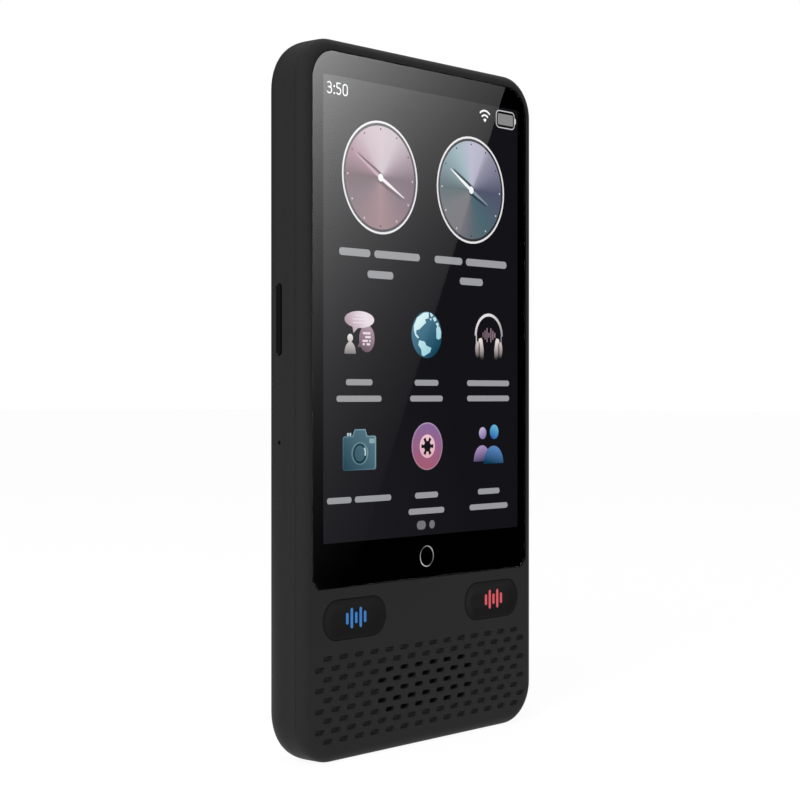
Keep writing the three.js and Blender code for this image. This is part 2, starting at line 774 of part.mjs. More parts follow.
// A talk key: a dished pill with a flange behind the front wall and bar slots for its wave mark.
// It is drawn about its own middle, at its real depth.
function talkKey() {
  const width = openingWidth - 2 * talkKeyGap;
  const height = openingHeight - 2 * talkKeyGap;
  const rimY = frontY + talkKeySink;
  const flangeY = frontInnerY + talkFlangeGap;
  const grown = (by) => stadiumPoints(width + 2 * by, height + 2 * by);
  const cap = loft([
    ringAtY(grown(-talkKeyEdge), rimY),
    ringAtY(grown(0), rimY + talkKeyEdge),
    ringAtY(grown(0), flangeY),
    ringAtY(grown(talkFlangeReach), flangeY),
    ringAtY(grown(talkFlangeReach), flangeY + talkFlangeThickness),
  ]);
  return cap.subtract(union([dish(width, height, rimY), ...markCut(flangeY)]));
}

// The shallow finger hollow: a long arc across the key, cut over its whole height.
function dish(width, height, rimY) {
  const chord = width - 2 * talkKeyRim;
  const radius = (chord * chord / 4 + talkKeyDish * talkKeyDish) / (2 * talkKeyDish);
  const half = Math.asin(chord / 2 / radius);
  const shape = new THREE.Shape();
  shape.moveTo(-chord / 2, rimY - overrun);
  shape.lineTo(chord / 2, rimY - overrun);
  shape.absarc(0, rimY + talkKeyDish - radius, radius, Math.PI / 2 - half, Math.PI / 2 + half);
  return prismZ(shape, -height, height, dishFacets);
}

const markCount = markBarShares.length;
const markWidth = (markCount - 1) * markBarPitch + markBarWidth;
const markFrontY = frontY + talkKeySink + talkKeyDish;
function markBars(grow, y0, y1) {
  return markBarShares.map((share, i) =>
    prismY(
      shapeOf(
        stadiumPoints(markBarWidth + 2 * grow, markHeight * share + 2 * grow, slotFacets),
        (i - (markCount - 1) / 2) * markBarPitch,
      ),
      y0,
      y1,
    ),
  );
}

function markPlate(grow, y0, y1) {
  const margin = markPlateMargin + grow;
  const [halfX, halfZ] = [markWidth / 2 + margin, markHeight / 2 + margin];
  return box(-halfX, halfX, y0, y1, -halfZ, halfZ);
}

function markCut(flangeY) {
  const plateY = flangeY + talkFlangeThickness - markPlateThickness;
  return [
    ...markBars(markClearance, frontY, flangeY + talkFlangeThickness),
    markPlate(markClearance, plateY - markClearance, flangeY + talkFlangeThickness + overrun),
  ];
}

// The clear coloured moulding inside a talk key: bars, the plate that joins them and the stem.
const talkStemY = frontInnerY + talkFlangeGap + talkFlangeThickness + talkStemLength;
function talkLens() {
  const backFace = frontInnerY + talkFlangeGap + talkFlangeThickness;
  const plateY = backFace - markPlateThickness;
  return union([
    ...markBars(0, markFrontY, plateY + fuse),
    markPlate(0, plateY, backFace),
    disc(talkStemRadius, backFace - fuse, talkStemY, screwFacets),
  ]);
}

// The switch under a talk key, drawn about its own middle on the front of the lower board.
function talkSwitch() {
  const half = talkSwitchSize / 2;
  const bodyY = boardFrontY - talkSwitchHeight;
  return union([
    box(-half, half, bodyY, boardFrontY - seatGap, -half, half),
    disc(actuatorRadius, talkStemY + talkTravel + switchGap, bodyY + fuse, screwFacets),
  ]);
}

function coverGlass() {
  return prismY(glassShape(), glassFrontY, glassBackY);
}

// The adhesive frame between the glass and its ledge.
function glassAdhesive() {
  const window = roundedRectangle(
    2 * (displayHalfWidth + pocketGap + adhesiveSetback),
    displayTop - displayBottom + 2 * (pocketGap + adhesiveSetback),
    pocketCorner + adhesiveSetback,
    0,
    (displayTop + displayBottom) / 2,
  );
  const frame = prismY(glassShape(-adhesiveSetback), glassBackY, glassSeatY);
  return frame.subtract(prismY(window, glassBackY - overrun, glassSeatY + overrun));
}

// The liquid crystal cell: a front glass on a longer rear glass that carries the driver chip.
function lcdPanel() {
  const [x, middleY] = [displayHalfWidth, (panelFrontY + panelBackY) / 2];
  return union([
    box(-x, x, panelFrontY, middleY + fuse, displayBottom + driverLedge, displayTop),
    box(-x, x, middleY, panelBackY, displayBottom, displayTop),
  ]);
}

// The backlight: a shallow steel tray that opens towards the cell round a white light guide.
function backlightUnit() {
  const x = displayHalfWidth;
  const tray = box(-x, x, panelBackY, backlightBackY, displayBottom, displayTop);
  const lip = backlightThickness / 2;
  return tray.subtract(
    box(-x + lip, x - lip, panelBackY - overrun, panelBackY + lip / 2, displayBottom + lip, displayTop - lip),
  );
}

// A flat strip in the middle of the body. Its back face follows points given in Y and Z, going down.
function ribbon(width, thickness, path) {
  const front = path.map((p, i) => {
    const before = path[Math.max(i - 1, 0)];
    const after = path[Math.min(i + 1, path.length - 1)];
    const along = new THREE.Vector2(after[0] - before[0], after[1] - before[1]).normalize();
    return [p[0] + along.y * thickness, p[1] - along.x * thickness];
  });
  return prismX(shapeOf([...path, ...front.reverse()]), -width / 2, width / 2);
}

// The display's cable: off the ledge of its rear glass, back through the window below its pocket,
// and onto the front of the lower board.
function displayFlex() {
  const startY = (panelFrontY + panelBackY) / 2 - seatGap;
  const endY = boardFrontY - seatGap;
  const turn = displayBottom - displayFlexDrop;
  const low = lowerBoardTop + displayFlexRise;
  return ribbon(displayFlexWidth, flexThickness, [
    [startY, displayBottom + driverLedge / 2],
    [startY, turn],
    [(startY + endY) / 2, (turn + low) / 2],
    [endY, low],
    [endY, lowerBoardTop - displayFlexOverlap],
  ]);
}

// The cable between the boards, down the left leg of the main board.
function boardFlex() {
  const x = -boardEdgeX + boardLegWidth / 2;
  const y = boardFrontY - seatGap;
  const z0 = lowerBoardTop - boardFlexOverlap;
  const z1 = boardLegBottom + boardFlexOverlap / 2;
  return box(x - boardFlexWidth / 2, x + boardFlexWidth / 2, y - flexThickness, y, z0, z1);
}

// The notch that a side switch sits in, for a board edge on one side of the body.
function switchNotch(side, z, travel) {
  const faceX = coverInnerX + sideActuatorX(travel) - sideActuatorLength;
  const [near, far] = [faceX - sideSwitchDepth - notchClearance, coverInnerX];
  const half = sideSwitchLength / 2 + notchClearance;
  const [x0, x1] = side > 0 ? [near, far] : [-far, -near];
  return box(x0, x1, boardFrontY - overrun, boardBackY + overrun, z - half, z + half);
}

const screwHole = ([x, z]) =>
  disc(screwRadius + screwClearance, boardFrontY - overrun, boardBackY + overrun, screwFacets)
    .translate(x, 0, z);

// The main board: a block across the top and a leg down the left, past the volume and reset switches.
function mainBoard() {
  const block = roundedRectangle(
    2 * boardEdgeX, boardTop - mainBoardBottom, boardCorner, 0, (boardTop + mainBoardBottom) / 2,
  );
  const leg = roundedRectangle(
    boardLegWidth, boardTop - boardLegBottom, boardCorner / 2,
    -boardEdgeX + boardLegWidth / 2, (boardTop + boardLegBottom) / 2,
  );
  const half = cameraModuleSize / 2 + notchClearance;
  const cuts = [
    switchNotch(-1, volumeHeight - volumeSwitchOffset, volumeTravel),
    switchNotch(-1, volumeHeight + volumeSwitchOffset, volumeTravel),
    switchNotch(-1, resetHeight, sideKeyTravel),
    switchNotch(1, powerHeight, sideKeyTravel),
    box(
      cameraNotchX, cameraX + half, boardFrontY - overrun, boardBackY + overrun,
      cameraHeight - half, cameraHeight + half,
    ),
    ...mainScrews.map(screwHole),
  ];
  return union([
    prismY(block, boardFrontY, boardBackY, slotFacets),
    prismY(leg, boardFrontY, boardBackY, slotFacets),
  ]).subtract(union(cuts));
}

// The lower board, behind the keys and the loudspeaker, notched for the charging socket.
function lowerBoard() {
  const outline = roundedRectangle(
    2 * boardEdgeX, lowerBoardTop - lowerBoardBottom, boardCorner, 0, (lowerBoardTop + lowerBoardBottom) / 2,
  );
  const half = socketWidth / 2 + notchClearance;
  return prismY(outline, boardFrontY, boardBackY, slotFacets).subtract(
    union([
      box(-half, half, boardFrontY - overrun, boardBackY + overrun, 0, socketTop + notchClearance),
      ...lowerScrews.map(screwHole),
    ]),
  );
}

// A board screw about its own axis, its head on the rear of the board.
function screw() {
  const seatY = boardBackY + seatGap;
  return revolve(
    [
      [0, boardBackY - screwLength],
      [screwRadius, boardBackY - screwLength],
      [screwRadius, seatY],
      [screwHeadRadius, seatY],
      [screwHeadRadius, seatY + screwHeadHeight / 2],
      [screwRadius, seatY + screwHeadHeight],
      [0, seatY + screwHeadHeight],
    ],
    screwFacets,
  );
}

// A pressed shield can on the rear of the main board, open towards it.
function shield(width, length) {
  const y0 = boardBackY + seatGap;
  const y1 = y0 + shieldHeight;
  const [x, z] = [width / 2, length / 2];
  return box(-x, x, y0, y1, -z, z).subtract(
    box(-x + shieldWall, x - shieldWall, y0 - overrun, y1 - shieldWall, -z + shieldWall, z - shieldWall),
  );
}

// The pouch cell, with the thinner folded top that covers its protection circuit.
function battery() {
  const x0 = boardLegX + batteryBoardGap;
  const x1 = coverInnerX - batterySideGap;
  const top = mainBoardBottom - batteryBoardGap;
  const y0 = floorBackY + seatGap;
  const y1 = coverInnerY - batterySwellGap;
  const pouch = roundedRectangle(
    x1 - x0, top - protectionHeight - batteryBottom, batteryCorner,
    (x0 + x1) / 2, (top - protectionHeight + batteryBottom) / 2,
  );
  return union([
    prismY(pouch, y0, y1, slotFacets),
    box(x0 + batteryCorner, x1 - batteryCorner, y0, y1 - protectionStep, top - protectionHeight - fuse, top),
  ]);
}

// Loudspeaker pieces, stacked behind the open slots of the grille.
const meshY = frontInnerY + seatGap;
const gasketY = meshY + meshThickness;
const speakerY = gasketY + gasketThickness;
const coneWidth = speakerWidth - 2 * (speakerRim + coneGap);
const coneHeight = speakerHeight - 2 * (speakerRim + coneGap);

function speakerMesh() {
  return prismY(roundedRectangle(speakerWidth, speakerHeight, speakerRim), meshY, gasketY, slotFacets);
}

function ringFrame(y0, y1) {
  const outer = prismY(roundedRectangle(speakerWidth, speakerHeight, speakerRim), y0, y1, slotFacets);
  const hole = stadiumPoints(speakerWidth - 2 * speakerRim, speakerHeight - 2 * speakerRim);
  return { outer, hole };
}

function speakerGasket() {
  const { outer, hole } = ringFrame(gasketY, speakerY);
  return outer.subtract(prismY(shapeOf(hole), gasketY - overrun, speakerY + overrun));
}

function speakerFrame() {
  const { outer, hole } = ringFrame(speakerY, speakerY + speakerThickness);
  return outer.subtract(prismY(shapeOf(hole), speakerY - overrun, speakerY + speakerThickness - speakerBack));
}

// The diaphragm: a racetrack with a raised middle.
function speakerCone() {
  const y = speakerY + coneRecess;
  const outer = stadiumPoints(coneWidth, coneHeight);
  const inner = stadiumPoints(coneWidth - 2 * magnetInset, coneHeight - 2 * magnetInset);
  return loft([
    ringAtY(inner, y - coneRecess / 2),
    ringAtY(outer, y),
    ringAtY(outer, y + coneThickness),
    ringAtY(inner, y + coneThickness - coneRecess / 4),
  ]);
}

function speakerMagnet() {
  const backFace = speakerY + speakerThickness - speakerBack;
  const outline = roundedRectangle(coneWidth - 2 * magnetInset, coneHeight - 2 * magnetInset, speakerRim / 2);
  return prismY(outline, backFace - seatGap - magnetThickness, backFace - seatGap, slotFacets);
}

// The outline of the socket's shell, shrunk by an equal amount all round.
const socketShape = (shrink) =>
  shapeOf(stadiumPoints(socketWidth - 2 * shrink, socketHeight - 2 * shrink), 0, sideKeyY);
const socketTop = socketSink + socketLength;

function socketShell() {
  const mouth = prismZ(socketShape(socketWall), socketSink - overrun, socketTop + overrun);
  return prismZ(socketShape(0), socketSink, socketTop).subtract(mouth);
}

// The contact tongue, on the moulded base that closes the inner end of the shell.
function socketTongue() {
  const baseZ = socketTop - tongueBaseLength;
  const [halfX, halfY] = [tongueWidth / 2, tongueThickness / 2];
  return union([
    prismZ(socketShape(socketWall + seatGap), baseZ, socketTop),
    box(-halfX, halfX, sideKeyY - halfY, sideKeyY + halfY, socketSink + tongueSink, baseZ + fuse),
  ]);
}

const microphoneY = boardFrontY - seatGap - microphoneThickness / 2;
function microphone() {
  const half = microphoneWidth / 2;
  return box(
    -microphoneOffset - half, -microphoneOffset + half,
    microphoneY - microphoneThickness / 2, microphoneY + microphoneThickness / 2,
    lowerBoardBottom, lowerBoardBottom + microphoneHeight,
  );
}

// Camera module: a square base on the tray, through the board, with a round barrel up to the window.
const windowBackY = backY - cameraWindowSink - cameraWindowThickness;
function cameraModule() {
  const half = cameraModuleSize / 2;
  const y0 = floorBackY + seatGap;
  return union([
    box(-half, half, y0, y0 + cameraBaseHeight, -half, half),
    disc(cameraBarrelRadius, y0 + cameraBaseHeight - fuse, coverInnerY - cameraBarrelGap),
  ]);
}

function cameraRing() {
  const [y0, y1] = [backY - cameraRingDepth, backY];
  const inner = cameraRingRadius - cameraRingWidth;
  return disc(cameraRingRadius, y0, y1).subtract(disc(inner, y0 - overrun, y1 + overrun));
}

function cameraWindow() {
  const radius = cameraRingRadius - cameraRingWidth - cameraFitGap;
  return disc(radius, windowBackY, windowBackY + cameraWindowThickness);
}

function flashLens() {
  const seatY = coverInnerY - seatGap;
  return revolve([
    [0, seatY - flashFlangeThickness],
    [flashRadius + flashFlange, seatY - flashFlangeThickness],
    [flashRadius + flashFlange, seatY],
    [flashRadius, seatY],
    [flashRadius, backY - flashSink],
    [0, backY - flashSink],
  ]);
}

function flashLed() {
  const half = ledSize / 2;
  const y0 = boardBackY + seatGap;
  return box(-half, half, y0, y0 + ledHeight, -half, half);
}

// Assembly: shells, display, electronics, and a group for each thing that moves.
const translator = new THREE.Group();

function add(group, name, solid, material, x = 0, y = 0, z = 0) {
  const mesh = new THREE.Mesh(geometryOf(solid), material);
  mesh.name = name;
  mesh.position.set(x, y, z);
  group.add(mesh);
}

const shells = new THREE.Group();
add(shells, "front_housing", frontHousing(), materials.housing);
add(shells, "rear_cover", rearCover(), materials.housing);
translator.add(shells);

const screenStack = new THREE.Group();
add(screenStack, "cover_glass", coverGlass(), materials.glass);
add(screenStack, "glass_adhesive", glassAdhesive(), materials.adhesive);
add(screenStack, "lcd_panel", lcdPanel(), materials.panel);
add(screenStack, "backlight_unit", backlightUnit(), materials.sheetSteel);
add(screenStack, "display_flex", displayFlex(), materials.flex);
translator.add(screenStack);

const electronics = new THREE.Group();
add(electronics, "main_board", mainBoard(), materials.board);
add(electronics, "lower_board", lowerBoard(), materials.board);
add(electronics, "board_flex", boardFlex(), materials.flex);
add(electronics, "battery", battery(), materials.battery);
mainScrews.forEach(([x, z], i) =>
  add(electronics, `main_board_screw_${i + 1}`, screw(), materials.sheetSteel, x, 0, z),
);
lowerScrews.forEach(([x, z], i) =>
  add(electronics, `lower_board_screw_${i + 1}`, screw(), materials.sheetSteel, x, 0, z),
);
const shieldTop = boardTop - shieldTopGap;
const shieldSpace = cameraNotchX - boardLegX;
const cpuShieldWidth = shieldSpace * cpuShieldShare;
const radioShieldWidth = shieldSpace * radioShieldShare;
const cpuShieldX = boardLegX + cpuShieldWidth / 2;
const radioShieldX = cpuShieldX + cpuShieldWidth / 2 + shieldSpacing + radioShieldWidth / 2;
add(electronics, "cpu_shield", shield(cpuShieldWidth, cpuShieldLength), materials.sheetSteel,
  cpuShieldX, 0, shieldTop - cpuShieldLength / 2);
add(electronics, "radio_shield", shield(radioShieldWidth, radioShieldLength), materials.sheetSteel,
  radioShieldX, 0, shieldTop - radioShieldLength / 2);
add(electronics, "microphone", microphone(), materials.sheetSteel);
translator.add(electronics);

const speaker = new THREE.Group();
speaker.position.z = grilleHeight;
add(speaker, "speaker_mesh", speakerMesh(), materials.mesh);
add(speaker, "speaker_gasket", speakerGasket(), materials.foam);
add(speaker, "speaker_frame", speakerFrame(), materials.blackPlastic);
add(speaker, "speaker_cone", speakerCone(), materials.cone);
add(speaker, "speaker_magnet", speakerMagnet(), materials.magnet);
translator.add(speaker);

const socket = new THREE.Group();
add(socket, "usb_c_shell", socketShell(), materials.sheetSteel);
add(socket, "usb_c_tongue", socketTongue(), materials.blackPlastic);
translator.add(socket);

const rearCamera = new THREE.Group();
rearCamera.position.set(cameraX, 0, cameraHeight);
add(rearCamera, "camera_module", cameraModule(), materials.blackPlastic);
add(rearCamera, "camera_ring", cameraRing(), materials.sheetSteel);
add(rearCamera, "camera_window", cameraWindow(), materials.clearGlass);
add(rearCamera, "flash_lens", flashLens(), materials.diffuser, 0, 0, -flashDrop);
add(rearCamera, "flash_led", flashLed(), materials.led, 0, 0, -flashDrop);
translator.add(rearCamera);

for (const [side, word, lens] of [[-1, "left", materials.blueLens], [1, "right", materials.redLens]]) {
  const talk = new THREE.Group();
  talk.position.set(side * talkKeyX, 0, talkKeyHeight);
  add(talk, `talk_key_${word}`, talkKey(), materials.key);
  add(talk, `talk_lens_${word}`, talkLens(), lens);
  add(talk, `talk_switch_${word}`, talkSwitch(), materials.blackPlastic);
  translator.add(talk);
}

// Each side group has its own origin on the inside of the cover's wall, with +X out of the body.
const leftSide = new THREE.Group();
leftSide.position.set(-coverInnerX, sideKeyY, 0);
leftSide.rotation.z = Math.PI;
const volumeNubs = [-volumeSwitchOffset, volumeSwitchOffset];
const volumeSwitch = sideSwitch(volumeTravel);
const [upHeight, downHeight] = [volumeHeight + volumeSwitchOffset, volumeHeight - volumeSwitchOffset];
add(leftSide, "volume_rocker", sideKey(volumeSlotLength, volumeNubs), materials.sideKey, 0, 0, volumeHeight);
add(leftSide, "volume_up_switch", volumeSwitch, materials.blackPlastic, 0, 0, upHeight);
add(leftSide, "volume_down_switch", volumeSwitch, materials.blackPlastic, 0, 0, downHeight);
add(leftSide, "reset_switch", sideSwitch(sideKeyTravel), materials.blackPlastic, 0, 0, resetHeight);
translator.add(leftSide);

const rightSide = new THREE.Group();
rightSide.position.set(coverInnerX, sideKeyY, 0);
add(rightSide, "power_key", sideKey(powerSlotLength, [0]), materials.sideKey, 0, 0, powerHeight);
add(rightSide, "power_switch", sideSwitch(sideKeyTravel), materials.blackPlastic, 0, 0, powerHeight);
translator.add(rightSide);

export default translator;
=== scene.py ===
# %% [markdown]
# # A handheld voice translator
#
# The object is a slab of black plastic, 67 by 130 by 12 millimetres, with a glass screen, two talk keys and
# a speaker grille. A construction model with every inner piece already exists. This notebook loads it as a
# fixed frame and gives each visible piece its real finish. Where the construction model is too coarse to
# look at from close by, a finer piece takes its place.

# %% Load the construction model
import math

import bmesh
import bpy
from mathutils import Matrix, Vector


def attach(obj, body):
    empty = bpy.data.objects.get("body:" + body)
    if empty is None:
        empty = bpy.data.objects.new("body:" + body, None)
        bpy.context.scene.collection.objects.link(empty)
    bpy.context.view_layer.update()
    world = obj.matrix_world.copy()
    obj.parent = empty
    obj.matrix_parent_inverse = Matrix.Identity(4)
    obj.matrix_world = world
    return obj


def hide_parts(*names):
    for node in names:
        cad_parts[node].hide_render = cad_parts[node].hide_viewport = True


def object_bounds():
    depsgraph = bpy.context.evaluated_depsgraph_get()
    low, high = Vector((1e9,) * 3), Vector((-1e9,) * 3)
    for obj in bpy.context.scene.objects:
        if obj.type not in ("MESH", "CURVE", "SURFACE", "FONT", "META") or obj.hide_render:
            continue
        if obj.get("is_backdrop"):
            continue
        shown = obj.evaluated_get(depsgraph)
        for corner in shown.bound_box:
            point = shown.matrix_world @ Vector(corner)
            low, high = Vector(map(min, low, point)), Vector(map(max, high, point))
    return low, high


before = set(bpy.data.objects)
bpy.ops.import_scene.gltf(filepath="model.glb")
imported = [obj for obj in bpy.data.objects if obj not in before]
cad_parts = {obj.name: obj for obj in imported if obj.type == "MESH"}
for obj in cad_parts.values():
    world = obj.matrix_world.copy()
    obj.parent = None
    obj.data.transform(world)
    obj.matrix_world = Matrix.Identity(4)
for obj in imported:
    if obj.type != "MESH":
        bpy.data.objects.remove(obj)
cad_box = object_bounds()

# %% [markdown]
# ## The camera
#
# A photograph is taken from one place with one lens, and both can be worked back from the outline of the
# object. The camera could be turned by hand until the view fits, but measured numbers fit better. It stands
# in front and to the left, level with the middle of the device, with a long lens, and a small shift puts
# the device where the photographer framed it. All sizes below are in millimetres, and one factor turns them
# into Blender's metres.

# %% Set up the camera
MM = 0.001
BODY_WIDTH, BODY_HEIGHT, BODY_DEPTH = 67, 130, 12
VIEW_TURN = math.radians(48.98)
VIEW_TILT = math.radians(-0.17)
VIEW_DISTANCE = 347.45
LENS, SENSOR = 81.45, 36
SHIFT_ACROSS, SHIFT_UP = -0.00347, 0.00042
NEAREST, FARTHEST = 10, 50000

forward = Vector((math.sin(VIEW_TURN), math.cos(VIEW_TURN), math.tan(VIEW_TILT))).normalized()
eye = Vector((0, 0, BODY_HEIGHT / 2)) - forward * VIEW_DISTANCE
camera_data = bpy.data.cameras.new("camera")
camera_data.lens, camera_data.sensor_width = LENS, SENSOR
camera_data.shift_x, camera_data.shift_y = SHIFT_ACROSS, SHIFT_UP
camera_data.clip_start, camera_data.clip_end = NEAREST * MM, FARTHEST * MM
camera = bpy.data.objects.new("camera", camera_data)
camera.location = eye * MM
camera.rotation_mode = "QUATERNION"
camera.rotation_quaternion = forward.to_track_quat("-Z", "Y")
bpy.context.scene.collection.objects.link(camera)
bpy.context.scene.camera = camera
print("camera at", [round(c, 1) for c in eye], "mm")

# %% [markdown]
# ## Two small helpers for materials
#
# Colours are written as the hex codes that a paint program shows. Blender calculates in linear light, so
# one function turns the codes. A material is a little machine of nodes. It could be wired by hand in the
# shader editor, but written down it can be read and run again. So one function adds a node, sets it and
# plugs in its inputs.

# %% Colour and node helpers
def linear(code):
    """The linear colour of a hex code such as #1c1c1d."""
    steps = [int(code[i : i + 2], 16) / 255 for i in (1, 3, 5)]
    return (*[s / 12.92 if s <= 0.04045 else ((s + 0.055) / 1.055) ** 2.4 for s in steps], 1.0)


def add_node(tree, kind, inputs=None, **settings):
    """Adds a node with its settings. An input takes a value or another node's output."""
    node = tree.nodes.new(kind)
    for name, value in settings.items():
        setattr(node, name, value)
    for socket, value in (inputs or {}).items():
        if isinstance(value, bpy.types.NodeSocket):
            tree.links.new(value, node.inputs[socket])
        else:
            node.inputs[socket].default_value = value
    return node


def empty_material(name):
    """A new material without nodes, and its node tree."""
    material = bpy.data.materials.new(name)
    material.use_nodes = True
    material.node_tree.nodes.clear()
    return material, material.node_tree


print("black plastic in linear light:", [round(c, 4) for c in linear("#1c1c1d")[:3]])

# %% [markdown]
# ## Moulded, printed and metal surfaces
#
# Nearly every real surface has a fine grain: the spark-eroded texture of a mould, the tooth of an ink, the
# rolling marks of a sheet. It could be cut into the mesh or painted on it, but a grain far below a tenth of
# a millimetre high needs neither. One recipe covers them all: a noise whose grain has a size in millimetres
# shades the colour and the gloss a little, and a bump lets it shade the height as well.

# %% A recipe for a grained surface
def grained(name, dark, light, gloss, grain, height, stretch=(1, 1, 1), **sockets):
    """A surface whose noise runs between two colours and two roughness values. Sizes are in millimetres."""
    material, tree = empty_material(name)
    place = add_node(tree, "ShaderNodeTexCoord")
    scaled = add_node(tree, "ShaderNodeMapping", {"Vector": place.outputs["Object"], "Scale": stretch})
    noise = add_node(
        tree, "ShaderNodeTexNoise",
        {"Vector": scaled.outputs["Vector"], "Scale": 1 / (grain * MM), "Detail": 3.0},
    )
    share = noise.outputs["Fac"]
    colour = add_node(tree, "ShaderNodeMix", {0: share, 6: linear(dark), 7: linear(light)}, data_type="RGBA")
    rough = add_node(tree, "ShaderNodeMapRange", {"Value": share, "To Min": gloss[0], "To Max": gloss[1]})
    bump = add_node(tree, "ShaderNodeBump", {"Height": share, "Distance": height * MM, "Strength": 0.6})
    shader = add_node(
        tree, "ShaderNodeBsdfPrincipled",
        {
            "Base Color": colour.outputs[2],
            "Roughness": rough.outputs["Result"],
            "Normal": bump.outputs["Normal"],
            **sockets,
        },
    )
    add_node(tree, "ShaderNodeOutputMaterial", {"Surface": shader.outputs["BSDF"]})
    return material


# ABS, injection moulded in a finely spark-eroded tool: satin black, with a soft broken reflection. The real
# grain is 0.05 mm, too fine for the picture, so it is drawn at 0.3 mm.
housing_abs = grained(
    "abs_moulded_fine_texture", "#252526", "#2a2a2b", (0.52, 0.62), 0.3, 0.006,
    **{"IOR": 1.54, "Specular IOR Level": 0.1},
)
# The same plastic from a smoother tool, for the talk keys: darker, with a more even satin. Its grain is drawn
# coarser than the real one too.
key_abs = grained(
    "abs_moulded_satin", "#161617", "#1a1a1a", (0.5, 0.58), 0.25, 0.003,
    **{"IOR": 1.54, "Specular IOR Level": 0.06},
)
# Polycarbonate blend from a polished tool, for the side keys: deep black with a faint, even sheen.
side_key_plastic = grained(
    "polycarbonate_moulded_black", "#0a0a0a", "#0d0d0d", (0.4, 0.46), 0.6, 0.001,
    **{"IOR": 1.58, "Specular IOR Level": 0.05},
)
print("made", housing_abs.name, key_abs.name, side_key_plastic.name)

# %% [markdown]
# ## The inner pieces
#
# Boards, a battery, the layers of the display and a loudspeaker lie behind the shells. Little of them is
# ever seen, so the shapes of the construction model are fine enough. They could all be left in one grey,
# but the mesh behind the grille does show, and the others would show as soon as a shell is taken off. So
# each gets the finish of what it is made of.

# %% Finishes of the inner pieces
# The real grains are a few hundredths of a millimetre. They are drawn as coarse as they need to be to show.

# Stainless steel, deep drawn and tumbled: grey metal with faint drawing lines.
stainless = grained(
    "stainless_steel_drawn", "#8f9092", "#a3a4a6", (0.28, 0.4), 0.2, 0.002, (1, 1, 0.1), Metallic=1.0
)
# Aluminium, turned and anodised black, for the camera's trim: dark metal with a soft, tight highlight.
anodised = grained(
    "aluminium_anodised_black", "#1a1b1d", "#232427", (0.25, 0.35), 0.15, 0.001, Metallic=1.0
)
# Solder mask, printed over copper and cured: a glassy green with a slight swell.
solder_mask = grained("solder_mask_green", "#0c3d24", "#12492c", (0.3, 0.45), 0.8, 0.01)
# Polyimide film, laminated over copper: smooth amber with some gloss.
polyimide = grained("polyimide_flat_cable", "#7a4513", "#94581d", (0.3, 0.4), 0.5, 0.004)
# Aluminium and plastic film, laminated and heat sealed: a soft grey shine over shallow dents.
pouch_foil = grained("laminated_foil_pouch", "#6b6e72", "#7b7e82", (0.35, 0.5), 2.0, 0.05, Metallic=0.8)
# Steel, cold headed and zinc plated: small bright screw heads.
zinc_steel = grained("steel_zinc_plated", "#8a8c8e", "#a0a2a4", (0.25, 0.4), 0.15, 0.003, Metallic=1.0)
# Steel sheet, tinned and pressed: pale grey with broad, cloudy highlights.
tinned_steel = grained("steel_tinned_sheet", "#a8aaac", "#b8babc", (0.3, 0.45), 1.2, 0.004, Metallic=1.0)
# Acrylic tape, die cut: black and dull.
bonding_tape = grained("acrylic_bonding_tape", "#0a0a0a", "#121212", (0.7, 0.9), 0.4, 0.01)
# Display glass, polished: nearly black, with a clear reflection.
panel_glass = grained("display_cell_glass", "#060708", "#0a0b0d", (0.05, 0.1), 3.0, 0.0005)
# Nylon, moulded: black and matt.
black_nylon = grained("nylon_moulded_black", "#0c0c0d", "#131314", (0.5, 0.65), 0.4, 0.01)
# Polyester gauze, woven: black threads that hardly shine.
acoustic_mesh = grained("acoustic_mesh_woven_black", "#030303", "#0c0c0c", (0.8, 0.95), 0.2, 0.05)
# Polyurethane foam, cut from a block: black open pores without any shine.
soft_foam = grained("polyurethane_foam_black", "#0a0a0a", "#191919", (0.9, 1.0), 0.3, 0.08)
# Polymer film, thermoformed: dark grey with a soft sheen.
cone_film = grained("polymer_cone_film", "#1c1c20", "#29292d", (0.5, 0.65), 0.5, 0.01)
# Nickel, plated on a sintered magnet: a clear grey shine.
magnet_nickel = grained("neodymium_nickel_plated", "#7d7f82", "#939598", (0.2, 0.3), 0.5, 0.002, Metallic=1.0)
# Phosphor in ceramic, pressed and fired: dull yellow while the lamp is off.
led_ceramic = grained("led_phosphor_ceramic", "#cdb23a", "#e3cc5c", (0.4, 0.5), 0.2, 0.01)
print("made", len(bpy.data.materials), "materials so far")

# %% Dress the inner pieces that stay as they are
INNER_FINISHES = {
    bonding_tape: ["glass_adhesive"],
    panel_glass: ["lcd_panel"],
    tinned_steel: ["backlight_unit", "cpu_shield", "radio_shield", "microphone"],
    polyimide: ["display_flex", "board_flex"],
    solder_mask: ["main_board", "lower_board"],
    pouch_foil: ["battery"],
    zinc_steel: [f"{board}_board_screw_{i}" for board in ("main", "lower") for i in range(1, 5)],
    black_nylon: [
        "speaker_frame", "camera_module", "talk_switch_left", "talk_switch_right",
        "volume_up_switch", "volume_down_switch", "reset_switch", "power_switch",
    ],
    acoustic_mesh: ["speaker_mesh"],
    soft_foam: ["speaker_gasket"],
    cone_film: ["speaker_cone"],
    magnet_nickel: ["speaker_magnet"],
    led_ceramic: ["flash_led"],
}
for material, nodes in INNER_FINISHES.items():
    for node in nodes:
        for material_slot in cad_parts[node].material_slots:
            material_slot.material = material
print("dressed", sum(len(nodes) for nodes in INNER_FINISHES.values()), "inner pieces")

# %% [markdown]
# ## Helpers for shapes
#
# Most pieces of this device are outlines carried through a depth, with a rounding or a bevel on the way.
# They could be boxes with bevel modifiers, but a loft gives each edge the rounding that it really has:
# rings of equally many points, skinned from one to the next and closed at the ends. Openings are cut with
# booleans. Blender's manifold solver is quick and exact for closed shapes such as these.

